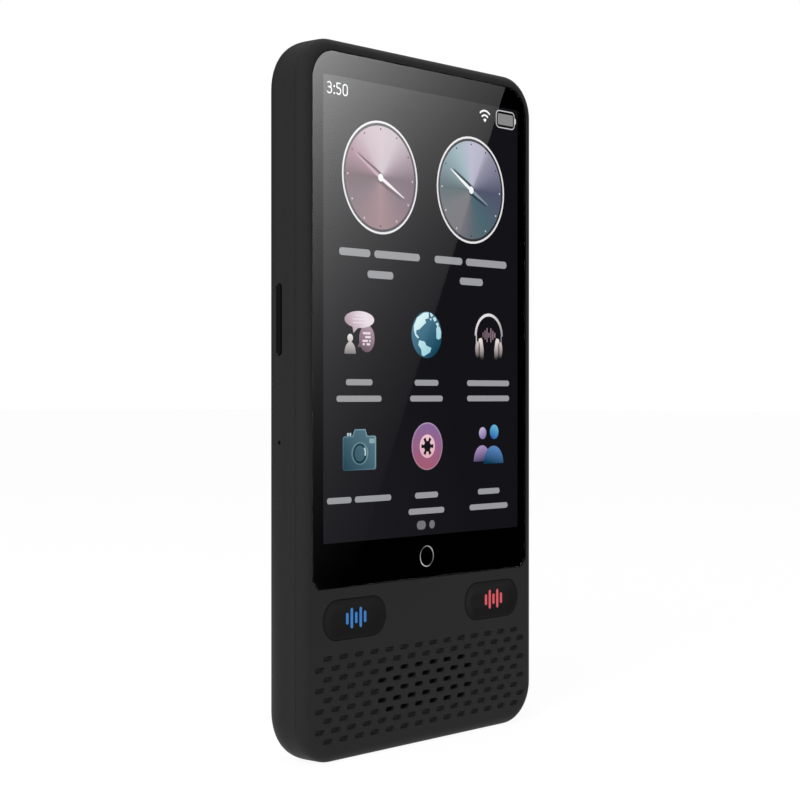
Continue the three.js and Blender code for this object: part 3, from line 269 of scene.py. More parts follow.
# %% Lofts and cuts
def loft(rings):
    """Points and faces of a skin over rings of equally many points, closed at both ends."""
    count = len(rings[0])
    points = [p for ring in rings for p in ring]
    faces = [tuple(range(count)), tuple(range(len(points) - count, len(points)))]
    for start in range(0, len(points) - count, count):
        for i in range(count):
            a, b = start + i, start + (i + 1) % count
            faces.append((a, b, b + count, a + count))
    return points, faces


def solid(name, shapes):
    """One mesh object from several closed shapes, each with its faces turned outwards."""
    mesh = bpy.data.meshes.new(name)
    work = bmesh.new()
    for points, faces in shapes:
        corners = [work.verts.new([c * MM for c in p]) for p in points]
        for face in faces:
            work.faces.new([corners[i] for i in face])
    bmesh.ops.recalc_face_normals(work, faces=work.faces)
    work.to_mesh(mesh)
    work.free()
    piece = bpy.data.objects.new(name, mesh)
    bpy.context.scene.collection.objects.link(piece)
    return piece


def combine(piece, shapes, operation="DIFFERENCE"):
    """Cuts the shapes out of a piece, or joins them to it. The shapes don't touch each other."""
    tool = solid("tool", shapes)
    change = piece.modifiers.new("combine", "BOOLEAN")
    change.operation, change.object, change.solver = operation, tool, "MANIFOLD"
    result = piece.evaluated_get(bpy.context.evaluated_depsgraph_get())
    mesh = bpy.data.meshes.new_from_object(result)
    piece.modifiers.clear()
    piece.data = mesh
    bpy.data.objects.remove(tool)


def smooth(piece, sharp_from=35):
    """Smooth shading that keeps real edges and leaves flat faces flat."""
    piece.data.shade_smooth()
    piece.data.set_sharp_from_angle(angle=math.radians(sharp_from))
    weights = piece.modifiers.new("weights", "WEIGHTED_NORMAL")
    weights.keep_sharp = True


def finish_piece(piece, material, body, slot, *nodes):
    """Gives a piece its material, the body that it moves with and the nodes that it stands for."""
    piece.data.materials.clear()
    piece.data.materials.append(material)
    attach(piece, body)
    if nodes:
        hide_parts(*nodes)
    print(piece.name, "has", len(piece.data.polygons), "faces")


two_triangles = loft([[(0, 0, z), (1, 0, z), (0, 1, z)] for z in (0, 1)])
print("a loft over two triangles has", len(two_triangles[1]), "faces")

# %% [markdown]
# ## Outlines
#
# Few outlines draw the whole device: pills for the keys and slots, boxes with round corners, and circles
# for the camera. They could be curves that Blender fills, but as plain lists of points they can be grown,
# shrunk and laid on a curved wall before a loft skins them.

# %% Outlines
def stadium(width, height, grow=0.0, steps=10):
    """A pill outline about the origin, the longer way either across or up."""
    width, height = width + 2 * grow, height + 2 * grow
    radius = min(width, height) / 2
    reach_x, reach_y = width / 2 - radius, height / 2 - radius
    points = []
    for half in (0, 1):
        start = half * math.pi - (0 if height > width else math.pi / 2)
        sign = -1 if half else 1
        for i in range(steps + 1):
            turn = start + math.pi * i / steps
            points.append((
                sign * reach_x + radius * math.cos(turn),
                sign * reach_y + radius * math.sin(turn),
            ))
    return points


def rounded_box(width, height, radius, steps=6):
    """A rectangle with round corners about the origin."""
    points = []
    for quarter, (sx, sy) in enumerate(((1, 1), (-1, 1), (-1, -1), (1, -1))):
        for i in range(steps + 1):
            turn = (quarter + i / steps) * math.pi / 2
            points.append((
                sx * (width / 2 - radius) + radius * math.cos(turn),
                sy * (height / 2 - radius) + radius * math.sin(turn),
            ))
    return points


def ring_y(outline, y, x=0.0, z=0.0):
    """An outline drawn on the face of the device, at one depth."""
    return [(px + x, y, pz + z) for px, pz in outline]


def ring_z(outline, z, x=0.0, y=0.0):
    """An outline drawn on the end of the device, at one height."""
    return [(px + x, py + y, z) for px, py in outline]


def prism_y(outline, y0, y1, x=0.0, z=0.0):
    """An outline on the face, carried from one depth to another."""
    return loft([ring_y(outline, y0, x, z), ring_y(outline, y1, x, z)])


def turned(steps, x=0.0, z=0.0, segments=64):
    """A turned form about the depth axis, from (radius, y) steps. Its ends are closed."""
    turns = [2 * math.pi * i / segments for i in range(segments)]
    return loft([[(x + r * math.cos(t), y, z + r * math.sin(t)) for t in turns] for r, y in steps])


print("a pill outline has", len(stadium(2.4, 0.85)), "points")

# %% [markdown]
# ## The housing
#
# The housing is two shells of moulded ABS. The front shell has the bezel, the key recesses and the grille.
# The rear shell is the back and the sides in one, with a long pillowed rounding that makes the slab easy to
# hold. A box with a bevel would round every edge alike, but here each one differs. So one function gives
# the outline of both shells at any depth: a quarter circle rounds the front edge and a quarter ellipse
# rounds the rear, so far in at the sides that the slab looks thinner than it is. The corners grow rounder
# as the rear comes in, like those of a pebble.

# %% The form of the whole housing
FRONT_Y, BACK_Y = -BODY_DEPTH / 2, BODY_DEPTH / 2
CORNER_RADIUS, LEAST_RADIUS = 8.0, 0.4
FRONT_ROUNDING = 1.95
# How far the rear rounding comes in and how deep it is, at the sides and at the ends.
REAR_SIDE, REAR_END = (6.5, 7.0), (4.0, 4.0)
# How much the corner radius grows with each millimetre that the rear comes in.
CORNER_GROWTH = 1.0
# The shells meet behind the front rounding, in a fine groove with broken edges.
PARTING_Y = FRONT_Y + FRONT_ROUNDING + 0.1
PARTING_GAP, PARTING_EDGE = 0.04, 0.03
COVER_WALL, FRONT_WALL = 1.5, 1.4
# How far a cutter reaches past what it cuts.
OVERRUN = 0.5


def rounding(past, inset, depth):
    """How far a quarter ellipse has come in at a distance past its start."""
    share = min(max(past / depth, 0), 1)
    return inset * (1 - math.sqrt(1 - share * share))


def body_outline(y, shrink=0.0, front_inset=0.0, steps=18):
    """The housing's outline at one depth, shrunk by an equal amount all round."""
    rear = BACK_Y - shrink
    side, end = [
        front_inset + rounding(y - (rear - depth + shrink), inset - shrink, depth - shrink)
        for inset, depth in (REAR_SIDE, REAR_END)
    ]
    radius = max(CORNER_RADIUS - shrink - front_inset, LEAST_RADIUS)
    radius_x = radius + CORNER_GROWTH * (side - front_inset)
    radius_z = radius + CORNER_GROWTH * (end - front_inset)
    reach_x = BODY_WIDTH / 2 - shrink - side - radius_x
    reach_z = BODY_HEIGHT / 2 - shrink - end - radius_z
    ring = []
    for quarter, (sx, sz) in enumerate(((1, 1), (-1, 1), (-1, -1), (1, -1))):
        for i in range(steps + 1):
            turn = (quarter + i / steps) * math.pi / 2
            ring.append((
                sx * reach_x + radius_x * math.cos(turn),
                y,
                BODY_HEIGHT / 2 + sz * reach_z + radius_z * math.sin(turn),
            ))
    return ring


def front_rings(steps=10):
    """Rings of the front rounding, from the flat of the face back to the straight sides."""
    turns = [math.pi / 2 * i / steps for i in range(steps + 1)]
    return [
        body_outline(FRONT_Y + FRONT_ROUNDING * (1 - math.cos(t)), 0, FRONT_ROUNDING * (1 - math.sin(t)))
        for t in turns
    ]


def rear_rings(shrink=0.0, steps=22):
    """Rings of the rear rounding, from where it starts on the sides to the flat of the back."""
    depth = REAR_SIDE[1] - shrink
    turns = [math.pi / 2 * i / steps for i in range(steps + 1)]
    return [body_outline(BACK_Y - shrink - depth * (1 - math.sin(t)), shrink) for t in turns]


print("outline of the housing:", len(body_outline(0)), "points")

# %% [markdown]
# ## The cover glass outline
#
# The glass has round upper corners, which follow the housing's, and small clipped lower ones. It could be
# drawn once and scaled, but scaling would thin the margins unevenly. So one function grows or shrinks the
# outline by the same amount all round, and gives the seat in the housing, the black printed border and the
# bevel of the glass.

# %% Outline of the glass
GLASS_HALF, GLASS_TOP, GLASS_BOTTOM = 31.17, 127.67, 31.4
GLASS_RADIUS, GLASS_CLIP = 5.67, 1.6
GLASS_FRONT_Y, GLASS_BACK_Y = FRONT_Y + 0.05, FRONT_Y + 0.85
GLASS_SEAT_Y, GLASS_GAP = GLASS_BACK_Y + 0.15, 0.12


def glass_outline(grow=0.0, steps=24):
    """The outline of the cover glass, in X and Z, grown by an amount."""
    half, radius = GLASS_HALF + grow, GLASS_RADIUS + grow
    top, bottom = GLASS_TOP + grow, GLASS_BOTTOM - grow
    points = [(-half + GLASS_CLIP, bottom), (half - GLASS_CLIP, bottom), (half, bottom + GLASS_CLIP)]
    for sign, start in ((1, 0), (-1, math.pi / 2)):
        for i in range(steps + 1):
            turn = start + math.pi / 2 * i / steps
            points.append((
                sign * (half - radius) + radius * math.cos(turn),
                top - radius + radius * math.sin(turn),
            ))
    points.append((-half, bottom + GLASS_CLIP))
    return points


print("glass is", 2 * GLASS_HALF, "by", round(GLASS_TOP - GLASS_BOTTOM, 2), "mm")

# %% [markdown]
# ## The front shell
#
# A mould leaves no knife-sharp edge, and the thin highlight along each edge is what tells the eye that this
# is plastic. A bevel modifier could break the edges after the cuts, but it stumbles where small openings
# crowd together. So every opening is cut with a tool whose mouth widens by a tenth of a millimetre. The
# grille is one brick pattern: slots in the middle go through, and the others are shallow dimples with soft
# sloping walls.

# %% Tools for the openings of the front
GRILLE_ROWS, GRILLE_OPEN_ROWS, COLUMNS_EACH_WAY = 9, 5, 9
GRILLE_MIDDLE, GRILLE_PITCH_X, GRILLE_PITCH_Z = 11.48, 4.18, 1.85
SLOT_WIDTH, SLOT_HEIGHT, OPEN_REACH = 2.4, 0.85, 13
FLAT_MARGIN = FRONT_ROUNDING + 0.25
MOUTH = 0.1
# Steps of a slot from the face inwards, as (growth, depth).
OPEN_STEPS = ((MOUTH, 0), (0, MOUTH), (0, FRONT_WALL + OVERRUN))
BLIND_STEPS = ((0.14, 0), (0.08, 0.04), (0, 0.2), (-0.06, 0.45), (-0.15, 0.55))


def slot_cutter(x, z, steps):
    """A pill-shaped cutter for the front face, from its mouth inwards by (growth, depth) steps."""
    rings = [(steps[0][0], -OVERRUN)] + list(steps)
    return loft([
        ring_y(stadium(SLOT_WIDTH, SLOT_HEIGHT, grow, 8), FRONT_Y + depth, x, z) for grow, depth in rings
    ])


def on_flat(x, z):
    """True where a slot lies wholly on the flat of the face, inside the edge rounding."""
    flat_x, flat_radius = BODY_WIDTH / 2 - FLAT_MARGIN, CORNER_RADIUS - FLAT_MARGIN
    end_x, end_z = abs(x) + SLOT_WIDTH / 2, z - SLOT_HEIGHT / 2
    past_x, past_z = end_x - (flat_x - flat_radius), CORNER_RADIUS - end_z
    return end_x <= flat_x and (past_x <= 0 or past_z <= 0 or math.hypot(past_x, past_z) <= flat_radius)


def grille_slots():
    """Place of each slot of the grille, and whether it goes through."""
    slots = []
    for row in range(GRILLE_ROWS):
        from_middle = row - (GRILLE_ROWS - 1) // 2
        z = GRILLE_MIDDLE + from_middle * GRILLE_PITCH_Z
        shift = 0.5 if from_middle % 2 == 0 else 0
        for column in range(-COLUMNS_EACH_WAY, COLUMNS_EACH_WAY + 1):
            x = (column + shift) * GRILLE_PITCH_X
            is_open = abs(from_middle) <= (GRILLE_OPEN_ROWS - 1) // 2 and abs(x) <= OPEN_REACH
            if on_flat(x, z):
                slots.append((x, z, is_open))
    return slots


slots = grille_slots()
print("grille has", len(slots), "slots,", sum(is_open for _, _, is_open in slots), "of them open")

# %% Make the front shell
FLOOR_BACK_Y = -1.8
SKIRT_INSET, SKIRT_WALL, SKIRT_LAP = 1.65, 1.2, 0.3


def body_block(shrink, y0, y1, z_top=None):
    """A slice of the housing's form between two depths, cut off at a height if one is given."""
    block = [body_outline(y, shrink) for y in (y0, y1)]
    if z_top:
        block = [[(x, y, min(z, z_top)) for x, y, z in ring] for ring in block]
    return loft(block)


front_shell = solid("front_shell", [loft([
    *front_rings(),
    body_outline(PARTING_Y - PARTING_EDGE),
    body_outline(PARTING_Y, 0, PARTING_EDGE),
])])
combine(front_shell, [body_block(SKIRT_INSET, PARTING_Y - SKIRT_LAP, FLOOR_BACK_Y)], "UNION")
print("the front shell starts with", len(front_shell.data.polygons), "faces")

# %% Cut the openings of the front
DISPLAY_HALF, DISPLAY_BOTTOM, DISPLAY_TOP = 29.22, 36.6, 125.27
POCKET_GAP, POCKET_RADIUS, POCKET_LAP = 0.2, 0.5, 0.1
FLOOR_FRONT_Y, HOLLOW_TOP = -2.65, 31.2
KEY_X, KEY_Z = 20.0, 25.55
RECESS_WIDTH, RECESS_HEIGHT, RECESS_EDGE = 17.0, 7.4, 0.08


def key_opening(x):
    """The opening of a talk key, with a broken edge at its mouth."""
    steps = ((RECESS_EDGE, -OVERRUN), (RECESS_EDGE, 0), (0, RECESS_EDGE), (0, FRONT_WALL + OVERRUN))
    return loft([
        ring_y(stadium(RECESS_WIDTH, RECESS_HEIGHT, grow, 24), FRONT_Y + depth, x, KEY_Z)
        for grow, depth in steps
    ])


glass_seat = loft([
    ring_y(glass_outline(GLASS_GAP + MOUTH), FRONT_Y - OVERRUN),
    ring_y(glass_outline(GLASS_GAP + MOUTH), FRONT_Y),
    ring_y(glass_outline(GLASS_GAP), FRONT_Y + MOUTH),
    ring_y(glass_outline(GLASS_GAP), GLASS_SEAT_Y),
])
pocket_width = 2 * DISPLAY_HALF + 2 * POCKET_GAP
pocket_height = DISPLAY_TOP - DISPLAY_BOTTOM + 2 * POCKET_GAP
pocket = prism_y(
    rounded_box(pocket_width, pocket_height, POCKET_RADIUS),
    GLASS_SEAT_Y - POCKET_LAP, FLOOR_FRONT_Y, 0, (DISPLAY_TOP + DISPLAY_BOTTOM) / 2,
)
hollow = body_block(SKIRT_INSET + SKIRT_WALL, FRONT_Y + FRONT_WALL, FLOOR_BACK_Y + OVERRUN, HOLLOW_TOP)
combine(front_shell, [glass_seat])
combine(front_shell, [pocket])
combine(front_shell, [hollow])
combine(front_shell, [slot_cutter(x, z, OPEN_STEPS if is_open else BLIND_STEPS) for x, z, is_open in slots])
combine(front_shell, [key_opening(side * KEY_X) for side in (-1, 1)])
smooth(front_shell)
finish_piece(front_shell, housing_abs, "housing", "housing_abs", "front_housing")

# %% [markdown]
# ## The rear shell
#
# The rear shell is hollow, so that the slots and holes in its walls open into darkness. It could be a thin
# skin with a Solidify modifier, but a smaller form cut out of a larger one gives one closed solid with
# walls of a known thickness. Its side slots follow the curved wall: each ring of the cutter is laid on the
# surface of the wall first, and then moved in or out.

# %% Tools for the openings of the rear
SIDE_KEY_Y, SIDE_SLOT_WIDTH = 0.17, 1.45
VOLUME_Z, VOLUME_LENGTH = 79.5, 12.9
POWER_Z, POWER_LENGTH = 100.0, 9.0
RESET_Z, RESET_WIDTH, RESET_MOUTH = 57.5, 0.8, 0.06
SOCKET_WIDTH, SOCKET_HEIGHT, SOCKET_GAP, SOCKET_MOUTH = 8.94, 3.26, 0.15, 0.15
MIC_X, MIC_Y, MIC_WIDTH, MIC_MOUTH = -13.0, -0.88, 0.9, 0.08
CAMERA_X, CAMERA_Z, FLASH_Z = 20.0, 113.0, 102.0
# Steps of the two round holes from the inside out, as (radius, depth).
CAMERA_HOLE = ((3.4, 4.0), (3.4, 5.12), (5.48, 5.12), (5.48, BACK_Y - 0.08), (5.56, BACK_Y), (5.56, 6.5))
FLASH_HOLE = ((1.88, 4.0), (1.88, BACK_Y - 0.08), (1.96, BACK_Y), (1.96, 6.5))


def wall_x(y):
    """How far the outside of the housing is from its middle at one depth, between the corners."""
    return BODY_WIDTH / 2 - rounding(y - (BACK_Y - REAR_SIDE[1]), *REAR_SIDE)


def side_cutter(side, width, length, z, mouth, steps=8):
    """A pill-shaped cutter through a side wall, with an even bevel at its mouth."""
    wide, narrow = stadium(width, length, mouth, steps), stadium(width, length, 0, steps)
    rings = []
    for outline, out in ((wide, OVERRUN), (wide, 0.0), (narrow, -mouth)):
        rings.append([(side * (wall_x(y + SIDE_KEY_Y) + out), y + SIDE_KEY_Y, pz + z) for y, pz in outline])
    inner = side * (BODY_WIDTH / 2 - COVER_WALL - OVERRUN)
    rings.append([(inner, y + SIDE_KEY_Y, pz + z) for y, pz in narrow])
    return loft(rings)


def end_cutter(width, depth, x, y, mouth, steps=10):
    """A pill-shaped cutter through the lower end."""
    wide, narrow = stadium(width, depth, mouth, steps), stadium(width, depth, 0, steps)
    return loft([
        ring_z(wide, -OVERRUN, x, y), ring_z(wide, 0, x, y),
        ring_z(narrow, mouth, x, y), ring_z(narrow, COVER_WALL + OVERRUN, x, y),
    ])


print("the side wall stands", round(wall_x(SIDE_KEY_Y), 3), "mm from the middle at the side keys")

# %% Make the rear shell
cover_front_y = PARTING_Y + PARTING_GAP
rear_shell = solid("rear_shell", [loft([
    body_outline(cover_front_y, 0, PARTING_EDGE),
    body_outline(cover_front_y + PARTING_EDGE),
    *rear_rings(),
])])
combine(rear_shell, [loft([body_outline(FRONT_Y, COVER_WALL), *rear_rings(COVER_WALL)])])
combine(rear_shell, [
    side_cutter(-1, SIDE_SLOT_WIDTH, VOLUME_LENGTH, VOLUME_Z, MOUTH),
    side_cutter(1, SIDE_SLOT_WIDTH, POWER_LENGTH, POWER_Z, MOUTH),
    side_cutter(-1, RESET_WIDTH, RESET_WIDTH, RESET_Z, RESET_MOUTH),
    end_cutter(SOCKET_WIDTH + 2 * SOCKET_GAP, SOCKET_HEIGHT + 2 * SOCKET_GAP, 0, SIDE_KEY_Y, SOCKET_MOUTH),
    end_cutter(MIC_WIDTH, MIC_WIDTH, MIC_X, MIC_Y, MIC_MOUTH),
    turned(CAMERA_HOLE, CAMERA_X, CAMERA_Z),
    turned(FLASH_HOLE, CAMERA_X, FLASH_Z),
])
smooth(rear_shell)
finish_piece(rear_shell, housing_abs, "housing", "housing_abs", "rear_cover")

# %% [markdown]
# ## The cover glass
#
# The cover is a sheet of strengthened glass with a polished bevel. A single glossy face could stand for it,
# but a solid with a real thickness bends the light, and its rim catches it. Its back is printed with black
# ceramic ink round the picture. The ink and the picture are bonded to the glass, so they are laid a hair
# inside its back face. That leaves one clear reflection, at the front, as on a laminated screen.

# %% Make the glass
SMEAR_SIZE = 16.67


def glass_material(name, tint, roughness):
    """Polished glass, with a trace of finger grease in its gloss, a finger's width across."""
    material, tree = empty_material(name)
    place = add_node(tree, "ShaderNodeTexCoord")
    smear = add_node(
        tree, "ShaderNodeTexNoise",
        {"Vector": place.outputs["Object"], "Scale": 1 / (SMEAR_SIZE * MM), "Detail": 4.0},
    )
    gloss = add_node(
        tree, "ShaderNodeMapRange",
        {"Value": smear.outputs["Fac"], "To Min": roughness[0], "To Max": roughness[1]},
    )
    shader = add_node(
        tree, "ShaderNodeBsdfPrincipled",
        {
            "Base Color": linear(tint),
            "Roughness": gloss.outputs["Result"],
            "IOR": 1.5,
            "Transmission Weight": 1.0,
        },
    )
    add_node(tree, "ShaderNodeOutputMaterial", {"Surface": shader.outputs["BSDF"]})
    return material


# Aluminosilicate glass, strengthened and polished: colourless, with a mirror's gloss.
screen_glass_material = glass_material("glass_strengthened_polished", "#fbfcfc", (0.0, 0.02))
BEVEL = 0.06
screen_glass = solid("screen_glass", [loft([
    ring_y(glass_outline(-BEVEL), GLASS_FRONT_Y),
    ring_y(glass_outline(), GLASS_FRONT_Y + BEVEL),
    ring_y(glass_outline(), GLASS_BACK_Y),
])])
smooth(screen_glass, 20)
finish_piece(screen_glass, screen_glass_material, "housing", "cover_glass", "cover_glass")

# %% The printed border
# Ceramic ink, screen printed and fired: dead black, seen through the glass. It has no gloss of its own,
# because the glass is fused to it.
border_ink = grained(
    "ceramic_ink_screen_printed", "#010101", "#020202", (0.6, 0.7), 0.4, 0.001, **{"Specular IOR Level": 0.0}
)
# The picture sits a little right of the middle of the glass.
PICTURE_X, PICTURE_HALF = 0.44, 28.4
PICTURE_LOW, PICTURE_HIGH = 39.4, 123.4
INK_Y, SHEET = GLASS_BACK_Y - 0.03, 0.02
PICTURE_Z = (PICTURE_LOW + PICTURE_HIGH) / 2
window_outline = rounded_box(2 * PICTURE_HALF, PICTURE_HIGH - PICTURE_LOW, 0.3)

border = solid("printed_border", [prism_y(glass_outline(-0.05), INK_Y - SHEET, INK_Y)])
combine(border, [prism_y(window_outline, INK_Y - OVERRUN, INK_Y + OVERRUN, PICTURE_X, PICTURE_Z)])
finish_piece(border, border_ink, "housing", "cover_glass")

# %% [markdown]
# ## The picture on the screen
#
# A lit display shines, so its materials give off light. They reflect a little as well, because the cell
# behind the cover has layers of its own, and so the glare is a shade lighter there than on the border. The
# picture could be an image on one face, but drawn as shapes it stays sharp from any distance. The black of
# such a display is never quite black, because some of the backlight leaks through, most of it where the eye
# looks along the panel.

# %% Light of the display
def screen_light(name, low, high=None, start=(0, 0), end=(0, BODY_HEIGHT)):
    """Light of the display: one even colour, or one that runs to another between two points of the screen."""
    material, tree = empty_material("display_light_" + name)
    if high is None:
        return lit(material, linear(low))
    run = Vector((end[0] - start[0], 0, end[1] - start[1]))
    run /= run.length_squared
    first = run.dot(Vector((start[0] + PICTURE_X, 0, start[1])))
    place = add_node(tree, "ShaderNodeTexCoord")
    along = add_node(
        tree, "ShaderNodeVectorMath", {0: place.outputs["Object"], 1: run / MM}, operation="DOT_PRODUCT"
    )
    share = add_node(
        tree, "ShaderNodeMapRange",
        {"Value": along.outputs["Value"], "From Min": first, "From Max": first + 1},
    )
    colour = add_node(
        tree, "ShaderNodeMix", {0: share.outputs["Result"], 6: linear(low), 7: linear(high)}, data_type="RGBA"
    )
    return lit(material, colour.outputs[2])


def lit(material, colour):
    """Finishes a material that gives off a colour and has the faint gloss of a display cell."""
    shader = add_node(
        material.node_tree, "ShaderNodeBsdfPrincipled",
        {
            "Base Color": (0, 0, 0, 1),
            "Roughness": 0.02,
            "IOR": 1.5,
            "Specular IOR Level": 0.25,
            "Emission Color": colour,
            "Emission Strength": 1.0,
        },
    )
    add_node(material.node_tree, "ShaderNodeOutputMaterial", {"Surface": shader.outputs["BSDF"]})
    return material


picture_black = screen_light("black", "#1d1c20", "#151418", (-28, 60), (6, 70))
white_light = screen_light("white", "#efefef", "#ffffff")
picture_base = solid("picture_base", [prism_y(window_outline, INK_Y - SHEET, INK_Y, PICTURE_X, PICTURE_Z)])
finish_piece(picture_base, picture_black, "housing", "display_glass")

# %% [markdown]
# ## A small drawing kit
#
# Everything on the screen is drawn from simple outlines: bars, ovals, bands and hands. Flat faces at one
# depth would be enough for light alone, but two of them in one place flicker where they overlap. So each
# mark is a thin plate, and a mark that covers another lies one layer nearer to the eye.

# %% Shapes for drawing on the screen
LAYER = 0.03


def drawn(name, marks):
    """One thin piece of the picture from (material, layer, outlines) marks. Outlines are in X and Z."""
    parts, materials, shares = [], [], []
    for material, layer, outlines in marks:
        front = INK_Y - SHEET - layer * LAYER
        if material not in materials:
            materials.append(material)
        for outline in outlines:
            shape = prism_y(outline, front - SHEET / 2, front, PICTURE_X)
            parts.append(shape)
            shares += [materials.index(material)] * len(shape[1])
    piece = solid(name, parts)
    finish_piece(piece, materials[0], "housing", "display_glass")
    for material in materials[1:]:
        piece.data.materials.append(material)
    for face, share in zip(piece.data.polygons, shares):
        face.material_index = share


def moved(outline, x, z):
    """An outline carried to another place of the screen."""
    return [(px + x, pz + z) for px, pz in outline]


def oval(x, z, rx, rz, segments=40):
    """An oval about a point, with its half width and half height."""
    turns = [2 * math.pi * i / segments for i in range(segments)]
    return [(x + rx * math.cos(t), z + rz * math.sin(t)) for t in turns]


def disc(radius, x, z, segments=48):
    """A round spot about a point."""
    return oval(x, z, radius, radius, segments)


def bow(inner, outer, start, end, x, z, segments=24):
    """A curved band between two radii, over an angle in degrees."""
    turns = [math.radians(start + (end - start) * i / segments) for i in range(segments + 1)]
    rim = [(x + outer * math.cos(t), z + outer * math.sin(t)) for t in turns]
    return rim + [(x + inner * math.cos(t), z + inner * math.sin(t)) for t in reversed(turns)]


def hoop(inner, outer, x, z):
    """A full ring, in two halves so that each is a plain outline."""
    return [bow(inner, outer, 0, 180, x, z), bow(inner, outer, 180, 360, x, z)]


def dome(x, z, half, height, segments=24):
    """The outline of a pair of shoulders: half an oval on a flat base."""
    turns = [math.pi * i / segments for i in range(segments + 1)]
    return [(x + half * math.cos(t), z + height * math.sin(t)) for t in turns]


def pointer(x, z, hour, length, width):
    """A tapered hand that points at an hour of the dial, from a blunt root to a fine tip."""
    turn = math.radians(30 * hour)
    along, across = Vector((math.sin(turn), math.cos(turn))), Vector((math.cos(turn), -math.sin(turn)))
    steps = ((-0.4, 0.7), (0.0, 1.0), (length * 0.3, 0.95), (length, 0.22))
    left = [along * far + across * width * share / 2 for far, share in steps]
    right = [along * far - across * width * share / 2 for far, share in reversed(steps)]
    return [(x + p.x, z + p.y) for p in left + right]


print("one layer of the picture is", LAYER, "mm thick")

# %% [markdown]
# ## Two dials
#
# The two clock faces look like sunray-brushed metal: the tone turns round the middle as on a watch dial.
# Real brushing, with thousands of fine scratches, would be lost on a drawing two centimetres wide. So a
# radial gradient gives the angle, and a colour ramp turns that angle into tones. The stops are named by the
# hour at which they lie, so the ramp can be read like a clock.

# %% Light of a dial
def dial_light(name, x, z, tones):
    """Light of a dial whose colour turns round its middle. Tones are (hour, colour) from 12 round to 12."""
    material, tree = empty_material("display_light_" + name)
    place = add_node(tree, "ShaderNodeTexCoord")
    flat = add_node(
        tree, "ShaderNodeMapping",
        {
            "Vector": place.outputs["Object"],
            "Rotation": (-math.pi / 2, 0, 0),
            "Location": (-(x + PICTURE_X) * MM, -z * MM, 0),
        },
    )
    around = add_node(
        tree, "ShaderNodeTexGradient", {"Vector": flat.outputs["Vector"]}, gradient_type="RADIAL"
    )
    ramp = add_node(tree, "ShaderNodeValToRGB", {"Fac": around.outputs["Fac"]})
    stops = ramp.color_ramp.elements
    stops.remove(stops[1])
    nine = dict(tones)[9]
    stops[0].position, stops[0].color = 0.0, linear(nine)
    stops.new(1.0).color = linear(nine)
    for hour, tone in tones:
        if hour != 9:
            stops.new((0.75 - hour / 12) % 1).color = linear(tone)
    return lit(material, ramp.outputs["Color"])


print("nine o'clock lies at the start of the ramp, and each hour takes", round(1 / 12, 3), "of it")

# %% Draw the dials
DIAL_RIM, DIAL_WELL, DIAL_FACE = 10.46, 10.06, 9.55
DOT_RADIUS, DOT_CIRCLE, DARK_HOURS = 0.18, 8.95, (0, 1, 2, 6, 10, 11)
HAND_WIDTH, HAND_SHADE_WIDTH, HAND_SHADE_SHORTER = 0.68, 0.85, 0.4
CAP_RADIUS, CAP_SHADE_RADIUS = 0.72, 0.95
rim_light = screen_light("rim_light", "#dedcde", "#f4f2f4")
dot_light = screen_light("dot_light", "#e2d8dc")
rim_shade = screen_light("rim_shade", "#5a565c", "#2e2c31", (-12, 0), (20, 0))
dot_dark = screen_light("dot_dark", "#3b363a")


def clock(name, x, z, tones, hands, shade):
    """A plain dial with a white rim, twelve dots and two hands, set to ten to four.

    Hands are (hour, length, light, shift), and the shift is how far right and up their shadow falls.
    """
    dots = {}
    for hour in range(12):
        turn = hour * math.pi / 6
        dots[hour] = disc(DOT_RADIUS, x + DOT_CIRCLE * math.sin(turn), z + DOT_CIRCLE * math.cos(turn), 12)
    marks = [
        (rim_shade, 0, [disc(DIAL_RIM - 0.1, x, z, 72)]),
        (rim_light, 1, hoop(DIAL_WELL, DIAL_RIM, x, z)),
        (dial_light(name, x, z, tones), 1, [disc(DIAL_FACE, x, z, 72)]),
        (dot_dark, 2, [dots[hour] for hour in DARK_HOURS]),
        (dot_light, 2, [dots[hour] for hour in dots if hour not in DARK_HOURS]),
        (shade, 2, [disc(CAP_SHADE_RADIUS, x + 0.15, z - 0.2, 24)]),
    ]
    for hour, length, light, (shift_x, shift_z) in hands:
        shadow = pointer(x + shift_x, z + shift_z, hour, length - HAND_SHADE_SHORTER, HAND_SHADE_WIDTH)
        marks.append((shade, 2, [shadow]))
        marks.append((light, 3, [pointer(x, z, hour, length, HAND_WIDTH)]))
    marks.append((white_light, 4, [disc(CAP_RADIUS, x, z, 24)]))
    drawn(name, marks)


faint_hand = screen_light("faint_hand", "#c9a9b5")
blush_hand = screen_light("blush_hand", "#f3e2ea", "#fbf2f6")
grey_hand = screen_light("grey_hand", "#8b99a4")
mauve_tones = [
    (0, "#d6c6cd"), (1, "#d1c4ca"), (2, "#af9ba7"), (3, "#80707a"), (4, "#887882"), (6, "#a78b90"),
    (8, "#85757d"), (9, "#78656b"), (10, "#ae8b99"), (11, "#cdbac3"),
]
teal_tones = [
    (0, "#bebdd2"), (0.9, "#b8b6ca"), (1.3, "#9a98ab"), (2, "#83839a"), (3, "#555870"), (5, "#506a74"),
    (5.8, "#5d6d76"), (6.3, "#70717b"), (6.8, "#7e7c82"), (8, "#7b7d82"), (9, "#627076"), (10, "#859da3"),
    (11, "#a1b8c0"),
]
mauve_hands = [(9.98, 7.9, faint_hand, (0.35, 0.3)), (3.88, 7.35, blush_hand, (-0.3, -0.55))]
teal_hands = [(9.99, 7.3, white_light, (0.5, 0.3)), (3.87, 5.7, grey_hand, (-0.2, -0.45))]
clock("dial_left", -13.1, 106.15, mauve_tones, mauve_hands, screen_light("shade_mauve", "#77636c"))
clock("dial_right", 13.5, 106.1, teal_tones, teal_hands, screen_light("shade_teal", "#31454e"))

